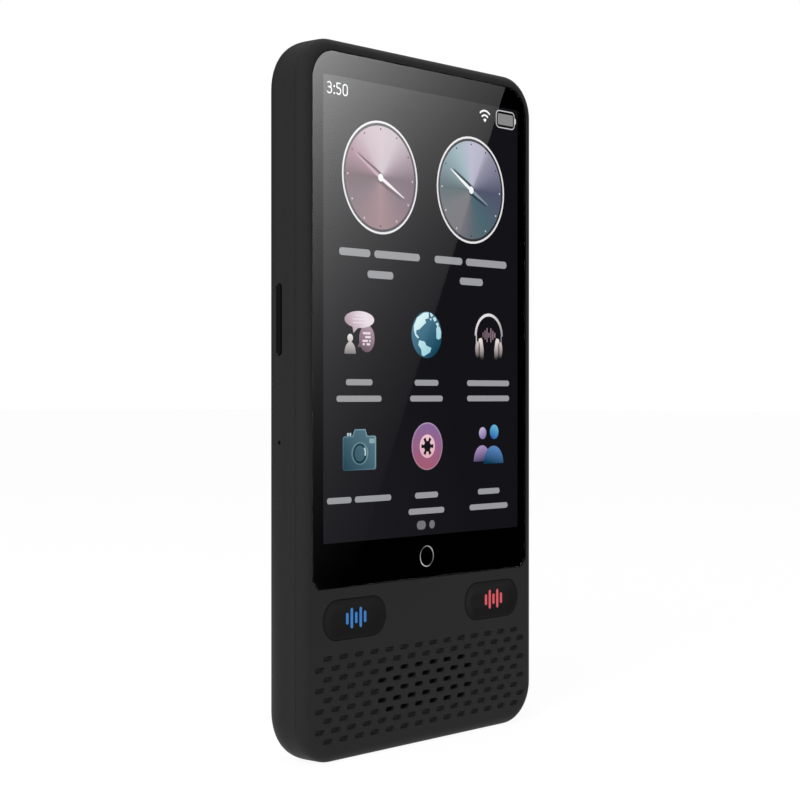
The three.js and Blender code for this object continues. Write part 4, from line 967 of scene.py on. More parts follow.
# %% [markdown]
# ## The status row
#
# The top of the screen shows the time, the strength of the wireless signal and the charge. The time could
# be a text object, but three digits are as quickly built from bows and bars, as a sign painter builds them,
# and then their weight and spacing can be set to a hundredth of a millimetre.

# %% Draw the signs of the status row
BATTERY_X, BATTERY_Z = 24.4, 121.08
SIGNAL_X, SIGNAL_Z = 17.83, 119.85
SIGNAL_BANDS = ((0.05, 0.74), (1.24, 1.6), (2.12, 2.48))
grey_light = screen_light("charge", "#8c8c8c")
thin_light = screen_light("thin_line", "#d4d4d6")
drawn("status_row", [
    (white_light, 0, [bow(inner, outer, 47, 133, SIGNAL_X, SIGNAL_Z) for inner, outer in SIGNAL_BANDS]),
    (thin_light, 0, [
        moved(rounded_box(6.1, 3.55, 1.0), BATTERY_X, BATTERY_Z),
        moved(rounded_box(0.4, 1.1, 0.15), BATTERY_X + 3.25, BATTERY_Z),
    ]),
    (picture_black, 1, [moved(rounded_box(5.7, 3.15, 0.8), BATTERY_X, BATTERY_Z)]),
    (grey_light, 2, [moved(rounded_box(4.95, 2.2, 0.25), BATTERY_X, BATTERY_Z)]),
])

# %% Draw the time
DIGIT_LOW = 119.97


def bar(x, z, width, height):
    """A straight stroke of a digit about a point, with its corners just broken."""
    return moved(rounded_box(width, height, 0.05, 2), x, z)


three = [
    bow(0.38, 0.62, -85, 150, -26.88, DIGIT_LOW + 1.61),
    bow(0.48, 0.72, -150, 85, -26.86, DIGIT_LOW + 0.72),
    bar(-27.0, DIGIT_LOW + 1.22, 0.4, 0.2),
]
colon = [disc(0.2, -25.58, DIGIT_LOW + high, 12) for high in (0.22, 1.46)]
five = [
    bar(-24.4, DIGIT_LOW + 2.12, 1.15, 0.22),
    bar(-24.86, DIGIT_LOW + 1.72, 0.26, 0.95),
    bow(0.46, 0.7, -150, 125, -24.45, DIGIT_LOW + 0.72),
]
zero = [
    bow(0.45, 0.7, 0, 180, -22.68, DIGIT_LOW + 1.52),
    bow(0.45, 0.7, 180, 360, -22.68, DIGIT_LOW + 0.7),
    *[bar(-22.68 + side * 0.575, DIGIT_LOW + 1.11, 0.25, 0.85) for side in (-1, 1)],
]
drawn("status_time", [(white_light, 0, [*three, *colon, *five, *zero])])

# %% [markdown]
# ## Labels, page dots and the home ring
#
# Under each dial and each icon the screen has a label of one or two lines. Each word is one plain bar, as
# long as a word would be, the way a designer blocks in text before the words are chosen. The page dots and
# the ring of the home key are outlines of the same kind.

# %% Draw the labels
label_light = screen_light("label", "#9a9a9d", "#a4a4a7")
BAR_SHARE, SPACE_SHARE = 0.8, 0.62
DIAL_LETTERS, ICON_LETTERS = 1.75, 1.4


def label(x, z, height, *words):
    """Plain bars in place of a line of words, about a middle point. A word is its length in millimetres."""
    gap, tall = height * SPACE_SHARE, height * BAR_SHARE
    start, outlines = x - (sum(words) + gap * (len(words) - 1)) / 2, []
    for word in words:
        outlines.append(moved(stadium(word, tall), start + word / 2, z + height / 2))
        start += word + gap
    return outlines


drawn("labels", [(label_light, 0, [
    *label(-13.1, 91.1, DIAL_LETTERS, 8.4, 12.9), *label(-13.1, 87.3, DIAL_LETTERS, 7.2),
    *label(13.6, 91.1, DIAL_LETTERS, 8.4, 12.9), *label(13.6, 87.3, DIAL_LETTERS, 7.2),
    *label(-18.9, 67.65, ICON_LETTERS, 7.2), *label(-18.9, 64.65, ICON_LETTERS, 12.2),
    *label(0.06, 67.65, ICON_LETTERS, 7.0), *label(0.06, 64.65, ICON_LETTERS, 9.6),
    *label(18.96, 67.65, ICON_LETTERS, 13.4), *label(18.96, 64.65, ICON_LETTERS, 13.4),
    *label(-18.8, 46.3, ICON_LETTERS, 6.5, 10.0),
    *label(0.06, 46.3, ICON_LETTERS, 6.8), *label(0.06, 43.3, ICON_LETTERS, 10.5),
    *label(19.1, 46.3, ICON_LETTERS, 6.9), *label(19.1, 43.3, ICON_LETTERS, 12.1),
])])

# %% Draw the page dots and the home ring
DOTS_Z, RING_X, RING_Z = 41.36, 0.12, 35.38
drawn("page_dots", [(screen_light("dim", "#77777b"), 0, [
    moved(stadium(2.6, 1.65), -1.48, DOTS_Z), disc(0.8, 1.66, DOTS_Z, 24),
])])
# The ring of the home key is brighter towards the lower left and the upper right.
ring_tones = [
    (0, "#8a8888"), (1.5, "#c9c8c8"), (3, "#8f8d8e"), (4.5, "#4c4a4b"), (6, "#b3b1b2"), (7.5, "#d8d7d7"),
    (9, "#a3a1a2"), (10.5, "#504d4e"),
]
ring_light = dial_light("home_ring", RING_X, RING_Z, ring_tones)
drawn("home_ring", [(ring_light, 0, hoop(1.83, 2.02, RING_X, RING_Z))])

# %% [markdown]
# ## Icons
#
# The six icons are generic signs for talking, the world, listening, a camera, a recording and a group of
# people. They are small drawings in pink, teal and silver. They could each be one flat shape, but the real
# ones look soft and rounded. So each is built up in layers, and the light of every layer runs from a dark
# side to a bright one.

# %% Draw the icon for talking
bubble = screen_light("bubble", "#a98f9c", "#f0e2ea", (-22.5, 78.2), (-18, 81.2))
bubble_far = screen_light("bubble_far", "#6d5564", "#b49cab", (-17.5, 74), (-15.5, 79))
person = screen_light("person", "#7f7778", "#eae4e4", (-21, 73.4), (-21, 77))
sheen = screen_light("sheen", "#e3cfdb", "#f6ecf2", (-22, 79), (-16, 81))
bubble_lines = ((3.4, -18.4, 80.5), (4.4, -18.6, 79.85), (3.6, -18.9, 79.2))
talk_lines = (
    (2.05, -16.95, 77.33), (1.5, -16.6, 76.63), (1.45, -17.36, 75.92), (0.4, -16.06, 75.92),
    (0.55, -17.75, 75.31), (0.95, -16.5, 75.31),
)
drawn("icon_talk", [
    (bubble_far, 0, [oval(-16.85, 76.35, 2.1, 2.5), [(-18.7, 75.9), (-18.0, 74.8), (-19.4, 74.75)]]),
    (bubble, 1, [oval(-18.88, 79.78, 4.0, 1.54), [(-20.8, 78.6), (-19.2, 78.3), (-20.5, 77.3)]]),
    (sheen, 2, [moved(stadium(width, 0.24), x, z) for width, x, z in bubble_lines]),
    (sheen, 2, [moved(rounded_box(width, 0.4, 0.12, 2), x, z) for width, x, z in talk_lines]),
    (person, 1, [oval(-21.37, 76.38, 0.75, 0.74, 28), dome(-21.37, 73.5, 1.52, 2.2)]),
])

# %% Draw the icon for the world
sea = screen_light("sea", "#0f4358", "#4f8199", (3, 74), (-2.5, 80.5))
land = screen_light("land", "#96d2e0", "#e0fafc", (3, 74), (-2, 81))
WORLD_X, WORLD_Z = 0.1, 77.45
coasts = (
    ((-3.8, 1.65), (-2.85, 3.2), (-0.9, 4.2), (0.54, 4.3), (0.54, 3.2), (-0.5, 2.95), (-0.25, 2.3),
     (-1.55, 1.45), (-2.2, 1.0), (-3.1, 0.8), (-3.1, 0.15), (-2.3, -0.5), (-2.6, -0.75), (-3.35, -0.2),
     (-3.75, 0.65)),
    ((-2.25, -1.05), (-0.65, -1.3), (-0.1, -2.05), (1.35, -2.45), (0.93, -3.3), (-0.9, -4.1), (-1.5, -3.85),
     (-1.6, -2.85), (-2.5, -1.95)),
    ((2.8, 1.25), (3.2, 1.85), (3.85, 1.55), (4.25, 0.7), (4.15, -0.5), (3.45, -0.85), (2.85, -0.55)),
    ((0.85, 4.2), (1.45, 4.1), (1.9, 3.65), (1.3, 3.45)),
    ((1.75, 3.25), (2.45, 3.5), (2.95, 2.9), (2.25, 2.55)),
    ((2.65, 2.3), (3.3, 2.45), (3.6, 1.95), (3.0, 1.7)),
    ((0.75, 3.1), (1.35, 3.2), (1.3, 2.7)),
)
drawn("icon_world", [
    (sea, 0, [disc(4.42, WORLD_X, WORLD_Z, 64)]),
    (land, 1, [moved(coast, WORLD_X, WORLD_Z) for coast in coasts]),
])

# %% Draw the icon for listening
band = screen_light("band", "#8f898d", "#f1ebee", (21, 76), (18, 82))
pads = screen_light("pads", "#2b2626", "#eae0de", (19, 73.2), (19, 76.6))
cups = screen_light("cups", "#4d4645", "#c9bdba", (19, 73.6), (19, 75.9))
cup_shade = screen_light("cup_shade", "#241f1f", "#7b706e", (19, 73.2), (19, 76.4))
wave = screen_light("wave", "#7d6570", "#a98e99", (17, 77), (22, 78))
PHONES_X, WAVE_PITCH = 19.12, 0.62
pad_outline = (
    (3.2, 77.1), (2.4, 77.3), (2.1, 76.9), (1.7, 75.0), (1.75, 73.0), (2.6, 72.95), (3.1, 75.0), (3.3, 76.6),
)
wave_bars = ((-3, 1.05), (-2, 1.85), (-1, 2.85), (0, 1.0), (1, 2.85), (2, 1.85), (3, 1.05))
drawn("icon_listen", [
    (band, 0, [
        bow(3.88, 4.45, 0, 180, PHONES_X, 77.7),
        *[moved(rounded_box(0.3, 1.6, 0.1, 2), PHONES_X + side * 3.95, 77.0) for side in (-1, 1)],
    ]),
    (cups, 1, [oval(PHONES_X + side * 3.68, 75.0, 0.62, 1.6, 28) for side in (-1, 1)]),
    (pads, 2, [[(PHONES_X + side * x, z) for x, z in pad_outline] for side in (-1, 1)]),
    (cup_shade, 3, [oval(PHONES_X + side * 3.1, 74.8, 0.22, 1.6, 20) for side in (-1, 1)]),
    (wave, 1, [moved(stadium(0.33, tall), PHONES_X + WAVE_PITCH * i, 77.88) for i, tall in wave_bars]),
])

# %% Draw the icon for the camera
slate = screen_light("slate", "#1e4150", "#587b8a", (-23, 52.5), (-15, 60))
slate_edge = screen_light("slate_edge", "#3a6474", "#86a9b4", (-23, 52.5), (-14.5, 60))
deep = screen_light("deep", "#0d2833", "#1d4452", (-20, 53), (-17, 58))
frost = screen_light("frost", "#b9d3d8", "#dbe9ec", (-22, 57), (-15, 59))
finder = screen_light("finder", "#8eabb3")
LENS_X, LENS_Z = -18.8, 55.36
drawn("icon_camera", [
    (slate_edge, 0, [
        moved(rounded_box(9.0, 6.2, 0.5), -18.82, 55.45),
        [(-20.85, 58.4), (-20.15, 59.8), (-17.25, 59.8), (-16.65, 58.4)],
    ]),
    (slate, 1, [
        moved(rounded_box(8.5, 5.9, 0.4), -18.95, 55.4),
        [(-20.6, 58.2), (-20.0, 59.6), (-17.4, 59.6), (-16.9, 58.2)],
    ]),
    (frost, 2, [moved(rounded_box(0.45, 0.55, 0.1, 2), x, 58.87) for x in (-22.0, -21.35)]),
    (finder, 2, [moved(rounded_box(1.4, 0.9, 0.1, 2), -15.5, 57.6)]),
    (slate_edge, 2, [oval(LENS_X, LENS_Z, 2.3, 2.06)]),
    (deep, 3, [oval(LENS_X, LENS_Z, 1.85, 1.86)]),
    (slate, 4, [oval(LENS_X - 0.05, LENS_Z, 1.4, 1.45)]),
    (frost, 5, [bow(1.3, 1.62, -20, 38, LENS_X, LENS_Z + 0.1, 10)]),
])

# %% Draw the icon for recording
plum = screen_light("plum", "#a85f76", "#8d6b9c", (0.5, 52.5), (1.2, 60))
plum_edge = screen_light("plum_edge", "#a98095", "#b79ac4", (0.5, 52), (0.5, 60.8))
rose = screen_light("rose", "#e8b6c2", "#f4ccd6", (0, 54), (0, 58.5))
REEL_X, REEL_Z = 0.24, 56.28
arm_outline = ((0.5, 0.22), (1.75, 0.38), (1.75, -0.38), (0.5, -0.22))
arms = []
for i in range(6):
    turn = math.radians(30 + 60 * i)
    along, across = Vector((math.sin(turn), math.cos(turn))), Vector((math.cos(turn), -math.sin(turn)))
    corners = [along * far + across * half for far, half in arm_outline]
    arms.append([(REEL_X + c.x, REEL_Z + c.y) for c in corners])
drawn("icon_recording", [
    (plum_edge, 0, [disc(4.52, REEL_X, REEL_Z, 64)]),
    (plum, 1, [disc(4.3, REEL_X, REEL_Z, 64)]),
    (rose, 2, [disc(2.24, REEL_X, REEL_Z)]),
    (picture_black, 3, [disc(1.02, REEL_X, REEL_Z, 32), *arms]),
])

# %% Draw the icon for a group
lilac_head = screen_light("lilac_head", "#8074a8", "#cbb9dc", (17.5, 57.6), (16.6, 59.6))
lilac = screen_light("lilac", "#423b5a", "#b094c6", (17, 52.9), (16.5, 56.0))
azure_head = screen_light("azure_head", "#2d5fae", "#66bce2", (20, 57.5), (21, 60.2))
azure = screen_light("azure", "#0c3a54", "#5c8cc6", (20.2, 52.4), (20.9, 56.0))
drawn("icon_group", [
    (lilac_head, 0, [oval(17.16, 58.5, 1.15, 1.18, 28)]),
    (lilac, 0, [dome(17.0, 52.95, 2.65, 3.15)]),
    (azure_head, 1, [oval(20.8, 58.7, 1.38, 1.44, 28)]),
    (azure, 1, [dome(20.6, 52.45, 3.15, 3.5)]),
])

# %% [markdown]
# ## The talk keys
#
# Each talk key is a satin pill that fills its opening up to a fine gap. Its face is one wide shallow dish:
# a soft slope runs down from the rim all round to a flat floor. With the light from one side, the near
# slope falls into shade and the far one fades into the housing, and that is why a dish looks crisp on one
# side and soft on the other. It could be sculpted, but rings that sink along a cosine give the same slope
# all round.
#
# The wave mark is a dyed polycarbonate moulding that comes up through the floor in five bars. They stand a
# little proud, so that a thumb can find them, and sit a little right of the middle. A printed mark would be
# quicker to make, but only real bars catch the light along their edges.

# %% Shapes of a talk key
KEY_GAP, KEY_EDGE = 0.08, 0.1
KEY_WIDTH, KEY_HEIGHT = RECESS_WIDTH - 2 * KEY_GAP, RECESS_HEIGHT - 2 * KEY_GAP
KEY_RIM_Y, DISH_DEPTH, DISH_SLOPE = FRONT_Y + 0.05, 0.35, 2.4
DISH_FLOOR_Y = KEY_RIM_Y + DISH_DEPTH
FLANGE_Y, FLANGE_REACH, FLANGE_THICKNESS = FRONT_Y + FRONT_WALL + 0.1, 0.45, 0.6
BAR_WIDTH, BAR_PITCH, BAR_SHARES = 0.6, 1.2, (0.57, 1, 0.55, 1, 0.57)
MARK_HEIGHT, MARK_PROUD, MARK_GAP = 3.75, 0.1, 0.04
MARK_EDGE, MARK_EDGE_DEPTH = 0.04, 0.05


def key_cap(x, edge_steps=5, dish_steps=16):
    """The closed skin of a talk key: flange, sides, rounded edge and dished face."""
    rings = [(FLANGE_REACH, FLANGE_Y + FLANGE_THICKNESS), (FLANGE_REACH, FLANGE_Y), (0, FLANGE_Y)]
    for i in range(edge_steps + 1):
        turn = math.pi / 2 * i / edge_steps
        rings.append((-KEY_EDGE * (1 - math.cos(turn)), KEY_RIM_Y + KEY_EDGE * (1 - math.sin(turn))))
    for i in range(1, dish_steps + 1):
        share = i / dish_steps
        sunk = DISH_DEPTH * (1 - math.cos(math.pi * share)) / 2
        rings.append((-KEY_EDGE - DISH_SLOPE * share, KEY_RIM_Y + sunk))
    return loft([ring_y(stadium(KEY_WIDTH, KEY_HEIGHT, grow, 24), y, x, KEY_Z) for grow, y in rings])


def mark_bars(x, grow, depth):
    """The five bars of a wave mark, up through the dish's floor. Grown ones are cutters and reach further."""
    front = DISH_FLOOR_Y - (OVERRUN if grow else MARK_PROUD)
    steps = ((grow, FLANGE_Y + depth), (grow, front + MARK_EDGE_DEPTH), (grow - MARK_EDGE, front))
    bars = []
    for i, share in enumerate(BAR_SHARES):
        bar_x = (i - 2) * BAR_PITCH
        bars.append(loft([
            ring_y(stadium(BAR_WIDTH, MARK_HEIGHT * share, out, 8), y, x + bar_x, KEY_Z) for out, y in steps
        ]))
    return bars


print("a talk key is", round(KEY_WIDTH, 2), "by", round(KEY_HEIGHT, 2), "mm")

# %% Make the talk keys
# Polycarbonate, dyed in the mass and moulded: strong colour. Its glow is painted light: a faint emission
# stands in for the light that the plastic gathers.
blue_lens = grained(
    "polycarbonate_dyed_blue_painted_glow", "#256cae", "#2f78ba", (0.3, 0.36), 0.3, 0.001,
    **{"IOR": 1.58, "Emission Color": linear("#1f86e0"), "Emission Strength": 0.2},
)
# The red mark has the same painted glow: a faint emission in the colour of its dye.
red_lens = grained(
    "polycarbonate_dyed_red_painted_glow", "#d24450", "#dc5058", (0.3, 0.36), 0.3, 0.001,
    **{"IOR": 1.58, "Emission Color": linear("#f0606c"), "Emission Strength": 0.2},
)
# How far the marks sit right of the middle of their keys.
LEFT_SHIFT, RIGHT_SHIFT = 0.65, 1.0
for side, word, lens, slot, shift in (
    (-1, "left", blue_lens, "blue_lens", LEFT_SHIFT), (1, "right", red_lens, "red_lens", RIGHT_SHIFT)
):
    cap = solid(f"talk_cap_{word}", [key_cap(side * KEY_X)])
    combine(cap, mark_bars(side * KEY_X + shift, MARK_GAP, FLANGE_THICKNESS + OVERRUN))
    smooth(cap)
    finish_piece(cap, key_abs, f"{word}_talk_key", "key_abs", f"talk_key_{word}")
    mark = solid(f"wave_mark_{word}", mark_bars(side * KEY_X + shift, 0, FLANGE_THICKNESS))
    smooth(mark)
    finish_piece(mark, lens, f"{word}_talk_key", slot, f"talk_lens_{word}")

# %% [markdown]
# ## The side keys
#
# The volume rocker and the power key are slim tongues of moulded black polycarbonate with a faint, even
# sheen. They stand a little proud of the wall. Their long edges are rounded, and it is this rounding that
# shows from the front as a dark line. A bevelled box would do from afar, but a loft over pill outlines also
# gives the round ends, and the flange inside the wall that keeps the real key from falling out.

# %% Make the side keys
SIDE_GAP, SIDE_PROUD, SIDE_ROUNDING = 0.15, 0.25, 0.3
SIDE_FLANGE_GAP, SIDE_FLANGE_THICKNESS, SIDE_FLANGE_REACH = 0.3, 0.7, 0.5


def side_key(side, length, z, steps=5):
    """A slim key through the side wall, from its flange to its rounded face."""
    face_x = BODY_WIDTH / 2 + SIDE_PROUD
    inner_x = BODY_WIDTH / 2 - COVER_WALL - SIDE_FLANGE_GAP
    width, long = SIDE_SLOT_WIDTH - 2 * SIDE_GAP, length - 2 * SIDE_GAP
    flange = (inner_x - SIDE_FLANGE_THICKNESS, inner_x)
    rings = [(x, SIDE_FLANGE_REACH) for x in flange] + [(inner_x, 0.0)]
    for i in range(steps + 1):
        turn = math.pi / 2 * i / steps
        rings.append((face_x - SIDE_ROUNDING * (1 - math.sin(turn)), -SIDE_ROUNDING * (1 - math.cos(turn))))
    return loft([
        [(side * x, py + SIDE_KEY_Y, pz + z) for py, pz in stadium(width, long, grow, 12)]
        for x, grow in rings
    ])


for name, node, body, side, length, z in (
    ("volume_key", "volume_rocker", "volume_key", -1, VOLUME_LENGTH, VOLUME_Z),
    ("power_button", "power_key", "power_button", 1, POWER_LENGTH, POWER_Z),
):
    key = solid(name + "_cap", [side_key(side, length, z)])
    smooth(key)
    finish_piece(key, side_key_plastic, body, "side_key_plastic", node)

# %% [markdown]
# ## The charging socket
#
# The charging socket is a drawn steel shell round a slim tongue with gold contacts. A dark oval painted on
# the end would pass from afar, but a thumb's length away the eye looks into the socket. So the shell is
# hollow, the tongue stands free inside it, and the contacts lie on both sides of the tongue.

# %% Make the shell of the socket
SOCKET_WALL, SOCKET_LOW, SOCKET_HIGH = 0.3, 0.5, 7.85
SOCKET_EDGE, SOCKET_LIP = 0.1, 0.08


def socket_outline(shrink):
    """The round-ended outline of the socket, shrunk by an amount."""
    return stadium(SOCKET_WIDTH, SOCKET_HEIGHT, -shrink, 16)


socket = solid("socket_shell", [loft([
    ring_z(socket_outline(SOCKET_EDGE), SOCKET_LOW, 0, SIDE_KEY_Y),
    ring_z(socket_outline(0), SOCKET_LOW + SOCKET_EDGE, 0, SIDE_KEY_Y),
    ring_z(socket_outline(0), SOCKET_HIGH, 0, SIDE_KEY_Y),
])])
combine(socket, [loft([
    ring_z(socket_outline(SOCKET_WALL - SOCKET_LIP), SOCKET_LOW - OVERRUN, 0, SIDE_KEY_Y),
    ring_z(socket_outline(SOCKET_WALL - SOCKET_LIP), SOCKET_LOW, 0, SIDE_KEY_Y),
    ring_z(socket_outline(SOCKET_WALL), SOCKET_LOW + SOCKET_LIP, 0, SIDE_KEY_Y),
    ring_z(socket_outline(SOCKET_WALL), SOCKET_HIGH + OVERRUN, 0, SIDE_KEY_Y),
])])
smooth(socket)
finish_piece(socket, stainless, "housing", "can_steel", "usb_c_shell")

# %% Make the tongue and its contacts
TONGUE_WIDTH, TONGUE_THICKNESS, TONGUE_LOW = 6.69, 0.7, SOCKET_LOW + 0.8
CONTACT_PITCH, CONTACT_Y = 0.5, 0.36
tongue_outline = rounded_box(TONGUE_WIDTH, TONGUE_THICKNESS, 0.25)
tongue = solid("socket_tongue", [loft([
    ring_z(rounded_box(6.5, 0.5, 0.2), TONGUE_LOW, 0, SIDE_KEY_Y),
    ring_z(tongue_outline, TONGUE_LOW + 0.15, 0, SIDE_KEY_Y),
    ring_z(tongue_outline, SOCKET_HIGH - 1.7, 0, SIDE_KEY_Y),
])])
combine(tongue, [loft([
    ring_z(socket_outline(0.35), SOCKET_HIGH - 1.8, 0, SIDE_KEY_Y),
    ring_z(socket_outline(0.35), SOCKET_HIGH, 0, SIDE_KEY_Y),
])], "UNION")
smooth(tongue)
finish_piece(tongue, black_nylon, "housing", "black_nylon", "usb_c_tongue")

# Gold, plated on copper contacts: warm, smooth and bright.
gold = grained("gold_plated_contact", "#b98a3a", "#c99a48", (0.2, 0.3), 0.3, 0.001, Metallic=1.0)
contact_outline = rounded_box(0.26, 0.05, 0.02, 2)
contacts = solid("socket_contacts", [
    loft([
        ring_z(contact_outline, z, CONTACT_PITCH * i, SIDE_KEY_Y + side * CONTACT_Y)
        for z in (TONGUE_LOW + 0.3, SOCKET_HIGH - 2.0)
    ])
    for side in (-1, 1) for i in range(-5, 6)
])
finish_piece(contacts, gold, "housing", "can_steel")

# %% [markdown]
# ## The camera and the flash
#
# The camera on the back sits under a small window in an anodised ring. Its lens is a stack of turned steps
# with a domed front element. A dark disc could stand for it, but the steps and the dome are what make a
# lens look deep. The flash is a frosted disc with five fine rings on its face that spread the light. Both
# are turned forms, so each is a list of radii and depths, as for a lathe.

# %% Make the camera
trim = solid("camera_trim", [turned([
    (5.4, 5.2), (5.4, 5.9), (5.3, 6.0), (4.35, 6.0), (4.2, 5.85),
], CAMERA_X, CAMERA_Z)])
combine(trim, [turned([(4.1, 5.0), (4.1, 5.88), (4.22, 6.0), (4.22, 6.5)], CAMERA_X, CAMERA_Z)])
smooth(trim, 25)
finish_piece(trim, anodised, "housing", "camera_trim", "camera_ring")

# Optical glass, polished and coated: a slight cool tint.
camera_glass = glass_material("glass_window_coated", "#dfe4ea", (0.0, 0.01))
window = solid("camera_cover", [turned([(4.02, 5.28), (4.02, 5.83), (3.97, 5.88)], CAMERA_X, CAMERA_Z)])
smooth(window, 25)
finish_piece(window, camera_glass, "housing", "camera_glass", "camera_window")

lens_stack = solid("camera_lens_stack", [turned([
    (3.2, 4.26), (3.2, 4.95), (3.05, 5.05), (2.6, 5.05), (2.45, 4.85), (2.0, 4.85), (1.9, 4.65), (1.5, 4.65),
], CAMERA_X, CAMERA_Z)])
smooth(lens_stack, 25)
finish_piece(lens_stack, anodised, "housing", "black_nylon")

# Optical glass, polished and coated against glare: nearly black, with a violet gleam.
coated = grained(
    "lens_element_coated", "#05060c", "#0a0b16", (0.02, 0.04), 3.0, 0.0001,
    **{"Coat Weight": 1.0, "Coat Tint": linear("#7b6cc0")},
)
dome_steps = [(1.5, 4.62)]
for i in range(10):
    turn = math.pi / 20 * i
    dome_steps.append((1.48 * math.cos(turn), 4.66 + 0.35 * math.sin(turn)))
front_element = solid("camera_lens", [turned(dome_steps, CAMERA_X, CAMERA_Z)])
smooth(front_element)
finish_piece(front_element, coated, "housing", "camera_glass")

# %% Make the flash
# Acrylic, moulded with a frosted face: milky, and bright where light gets into it.
diffuser = grained(
    "acrylic_moulded_frosted", "#cfcdc2", "#dedcd2", (0.35, 0.5), 0.2, 0.01,
    **{"Transmission Weight": 0.4, "IOR": 1.49},
)
RING_TOP_Y, RING_FOOT_Y, RING_PITCH = 5.96, 5.84, 0.32
flash_steps = [(2.5, 3.95), (2.5, 4.45), (1.8, 4.45), (1.8, RING_FOOT_Y)]
for i in range(5):
    flash_steps += [(1.68 - RING_PITCH * i, RING_TOP_Y), (1.52 - RING_PITCH * i, RING_FOOT_Y)]
flash = solid("flash_cover", [turned(flash_steps, CAMERA_X, FLASH_Z)])
smooth(flash, 25)
finish_piece(flash, diffuser, "housing", "flash_diffuser", "flash_lens")

# %% [markdown]
# ## The studio
#
# The device stands on a pale floor in an even white studio. Plain lamps on a grey ground could light it,
# but a white studio is what black plastic needs to show its form. The world is white for the camera and for
# anything that mirrors it. For matt surfaces it counts less, so that the sky and the lamp together show a
# colour about as it is written.

# %% The white world
def seen_directly(tree):
    """One for camera rays, and for rays that mirror or pass through something, and zero for the rest."""
    path = add_node(tree, "ShaderNodeLightPath")
    seen = add_node(
        tree, "ShaderNodeMath",
        {0: path.outputs["Is Camera Ray"], 1: path.outputs["Is Glossy Ray"]}, operation="MAXIMUM",
    )
    seen = add_node(
        tree, "ShaderNodeMath",
        {0: seen.outputs["Value"], 1: path.outputs["Is Transmission Ray"]}, operation="MAXIMUM",
    )
    return seen.outputs["Value"]


SKY_SEEN, SKY_LIGHT = 1.0, 0.4
world = bpy.data.worlds.new("white_studio")
world.use_nodes = True
tree = world.node_tree
tree.nodes.clear()
bpy.context.scene.world = world
level = add_node(
    tree, "ShaderNodeMapRange", {"Value": seen_directly(tree), "To Min": SKY_LIGHT, "To Max": SKY_SEEN}
)
sky = add_node(tree, "ShaderNodeBackground", {"Color": (1, 1, 1, 1), "Strength": level.outputs["Result"]})
add_node(tree, "ShaderNodeOutputWorld", {"Surface": sky.outputs["Background"]})
print("the sky counts", SKY_SEEN, "where it is seen and", SKY_LIGHT, "as light on matt surfaces")

# %% The floor
# Matt white paint. Seen directly it is mostly an even white, so that the horizon vanishes, with enough of the
# real paint left in it to keep the shadow of the device. The white is a little over one, to make up for the
# greyer paint that is mixed into it. Real paint is too smooth to show any speckle, so it is drawn coarse.
WHITE_SHARE, WHITE_STRENGTH = 0.85, 1.09
SPECKLE_SIZE = 2.5
floor_paint, tree = empty_material("floor_matt_white")
place = add_node(tree, "ShaderNodeTexCoord")
speckle = add_node(
    tree, "ShaderNodeTexNoise", {"Vector": place.outputs["Object"], "Scale": 1 / (SPECKLE_SIZE * MM)}
)
tone = add_node(
    tree, "ShaderNodeMix",
    {0: speckle.outputs["Fac"], 6: linear("#f0f0f0"), 7: linear("#f6f6f6")}, data_type="RGBA",
)
matt = add_node(tree, "ShaderNodeBsdfDiffuse", {"Color": tone.outputs[2]})
white = add_node(tree, "ShaderNodeEmission", {"Color": (1, 1, 1, 1), "Strength": WHITE_STRENGTH})
share = add_node(tree, "ShaderNodeMath", {0: seen_directly(tree), 1: WHITE_SHARE}, operation="MULTIPLY")
mixed = add_node(
    tree, "ShaderNodeMixShader", {0: share.outputs["Value"], 1: matt.outputs[0], 2: white.outputs[0]}
)
add_node(tree, "ShaderNodeOutputMaterial", {"Surface": mixed.outputs["Shader"]})

FLOOR_REACH, FLOOR_THICKNESS = 6000, 20
floor_outline = [
    (sx * FLOOR_REACH, sy * FLOOR_REACH) for sx, sy in ((-1, -1), (1, -1), (1, 1), (-1, 1))
]
floor = solid("floor", [loft([ring_z(floor_outline, z) for z in (-FLOOR_THICKNESS, 0)])])
floor.data.materials.append(floor_paint)
floor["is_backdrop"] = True
print("floor reaches", FLOOR_REACH / 1000, "m each way")

# %% [markdown]
# ## Black cards and the soft light
#
# Black gloss shows whatever stands opposite, and in a white studio that would be white. So a photographer
# puts black cards there: one opposite the glass, one for the left side and one behind. Before the card that
# is opposite the glass stands a soft light, and its straight edge is the diagonal line in the screen. All
# could be placed by trial, but a mirror can be reckoned with: the camera's mirror image, a point of the
# glass and the thing seen there lie on one line. Only rays that mirror or pass through glass see the cards
# and the light panel here, so they take no light away from the object and add none to it.

# %% Black cards, placed by their mirror image
STUDIO_Y, CARD_BEHIND = -190.0, 1.1
mirror_eye = Vector((eye.x, 2 * GLASS_FRONT_Y - eye.y, eye.z))
REACH = (STUDIO_Y - GLASS_FRONT_Y) / (GLASS_FRONT_Y - mirror_eye.y)


def opposite(x, z, further=1.0):
    """The point of the studio that a point of the glass mirrors to the camera."""
    on_glass = Vector((x, GLASS_FRONT_Y, z))
    return on_glass + (on_glass - mirror_eye) * REACH * further


def card(name, corners, material):
    """A flat stage piece that only reflections see, also those under glass."""
    piece = solid(name, [])
    points = [tuple(c * MM for c in corner) for corner in corners]
    piece.data.from_pydata(points, [], [tuple(range(len(points)))])
    piece.data.materials.append(material)
    for kind in ("camera", "diffuse", "shadow", "volume_scatter"):
        setattr(piece, "visible_" + kind, False)
    piece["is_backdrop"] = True
    print(name, "is seen by reflections only")


# Card, flocked in black: so matt that it sends nothing back.
black_card, tree = empty_material("card_matt_black")
velvet = add_node(tree, "ShaderNodeBsdfDiffuse", {"Color": (0, 0, 0, 1)})
add_node(tree, "ShaderNodeOutputMaterial", {"Surface": velvet.outputs["BSDF"]})
front_places = ((-100, -60), (240, -60), (240, 240), (-100, 240))
card("black_card_front", [opposite(x, z, CARD_BEHIND) for x, z in front_places], black_card)

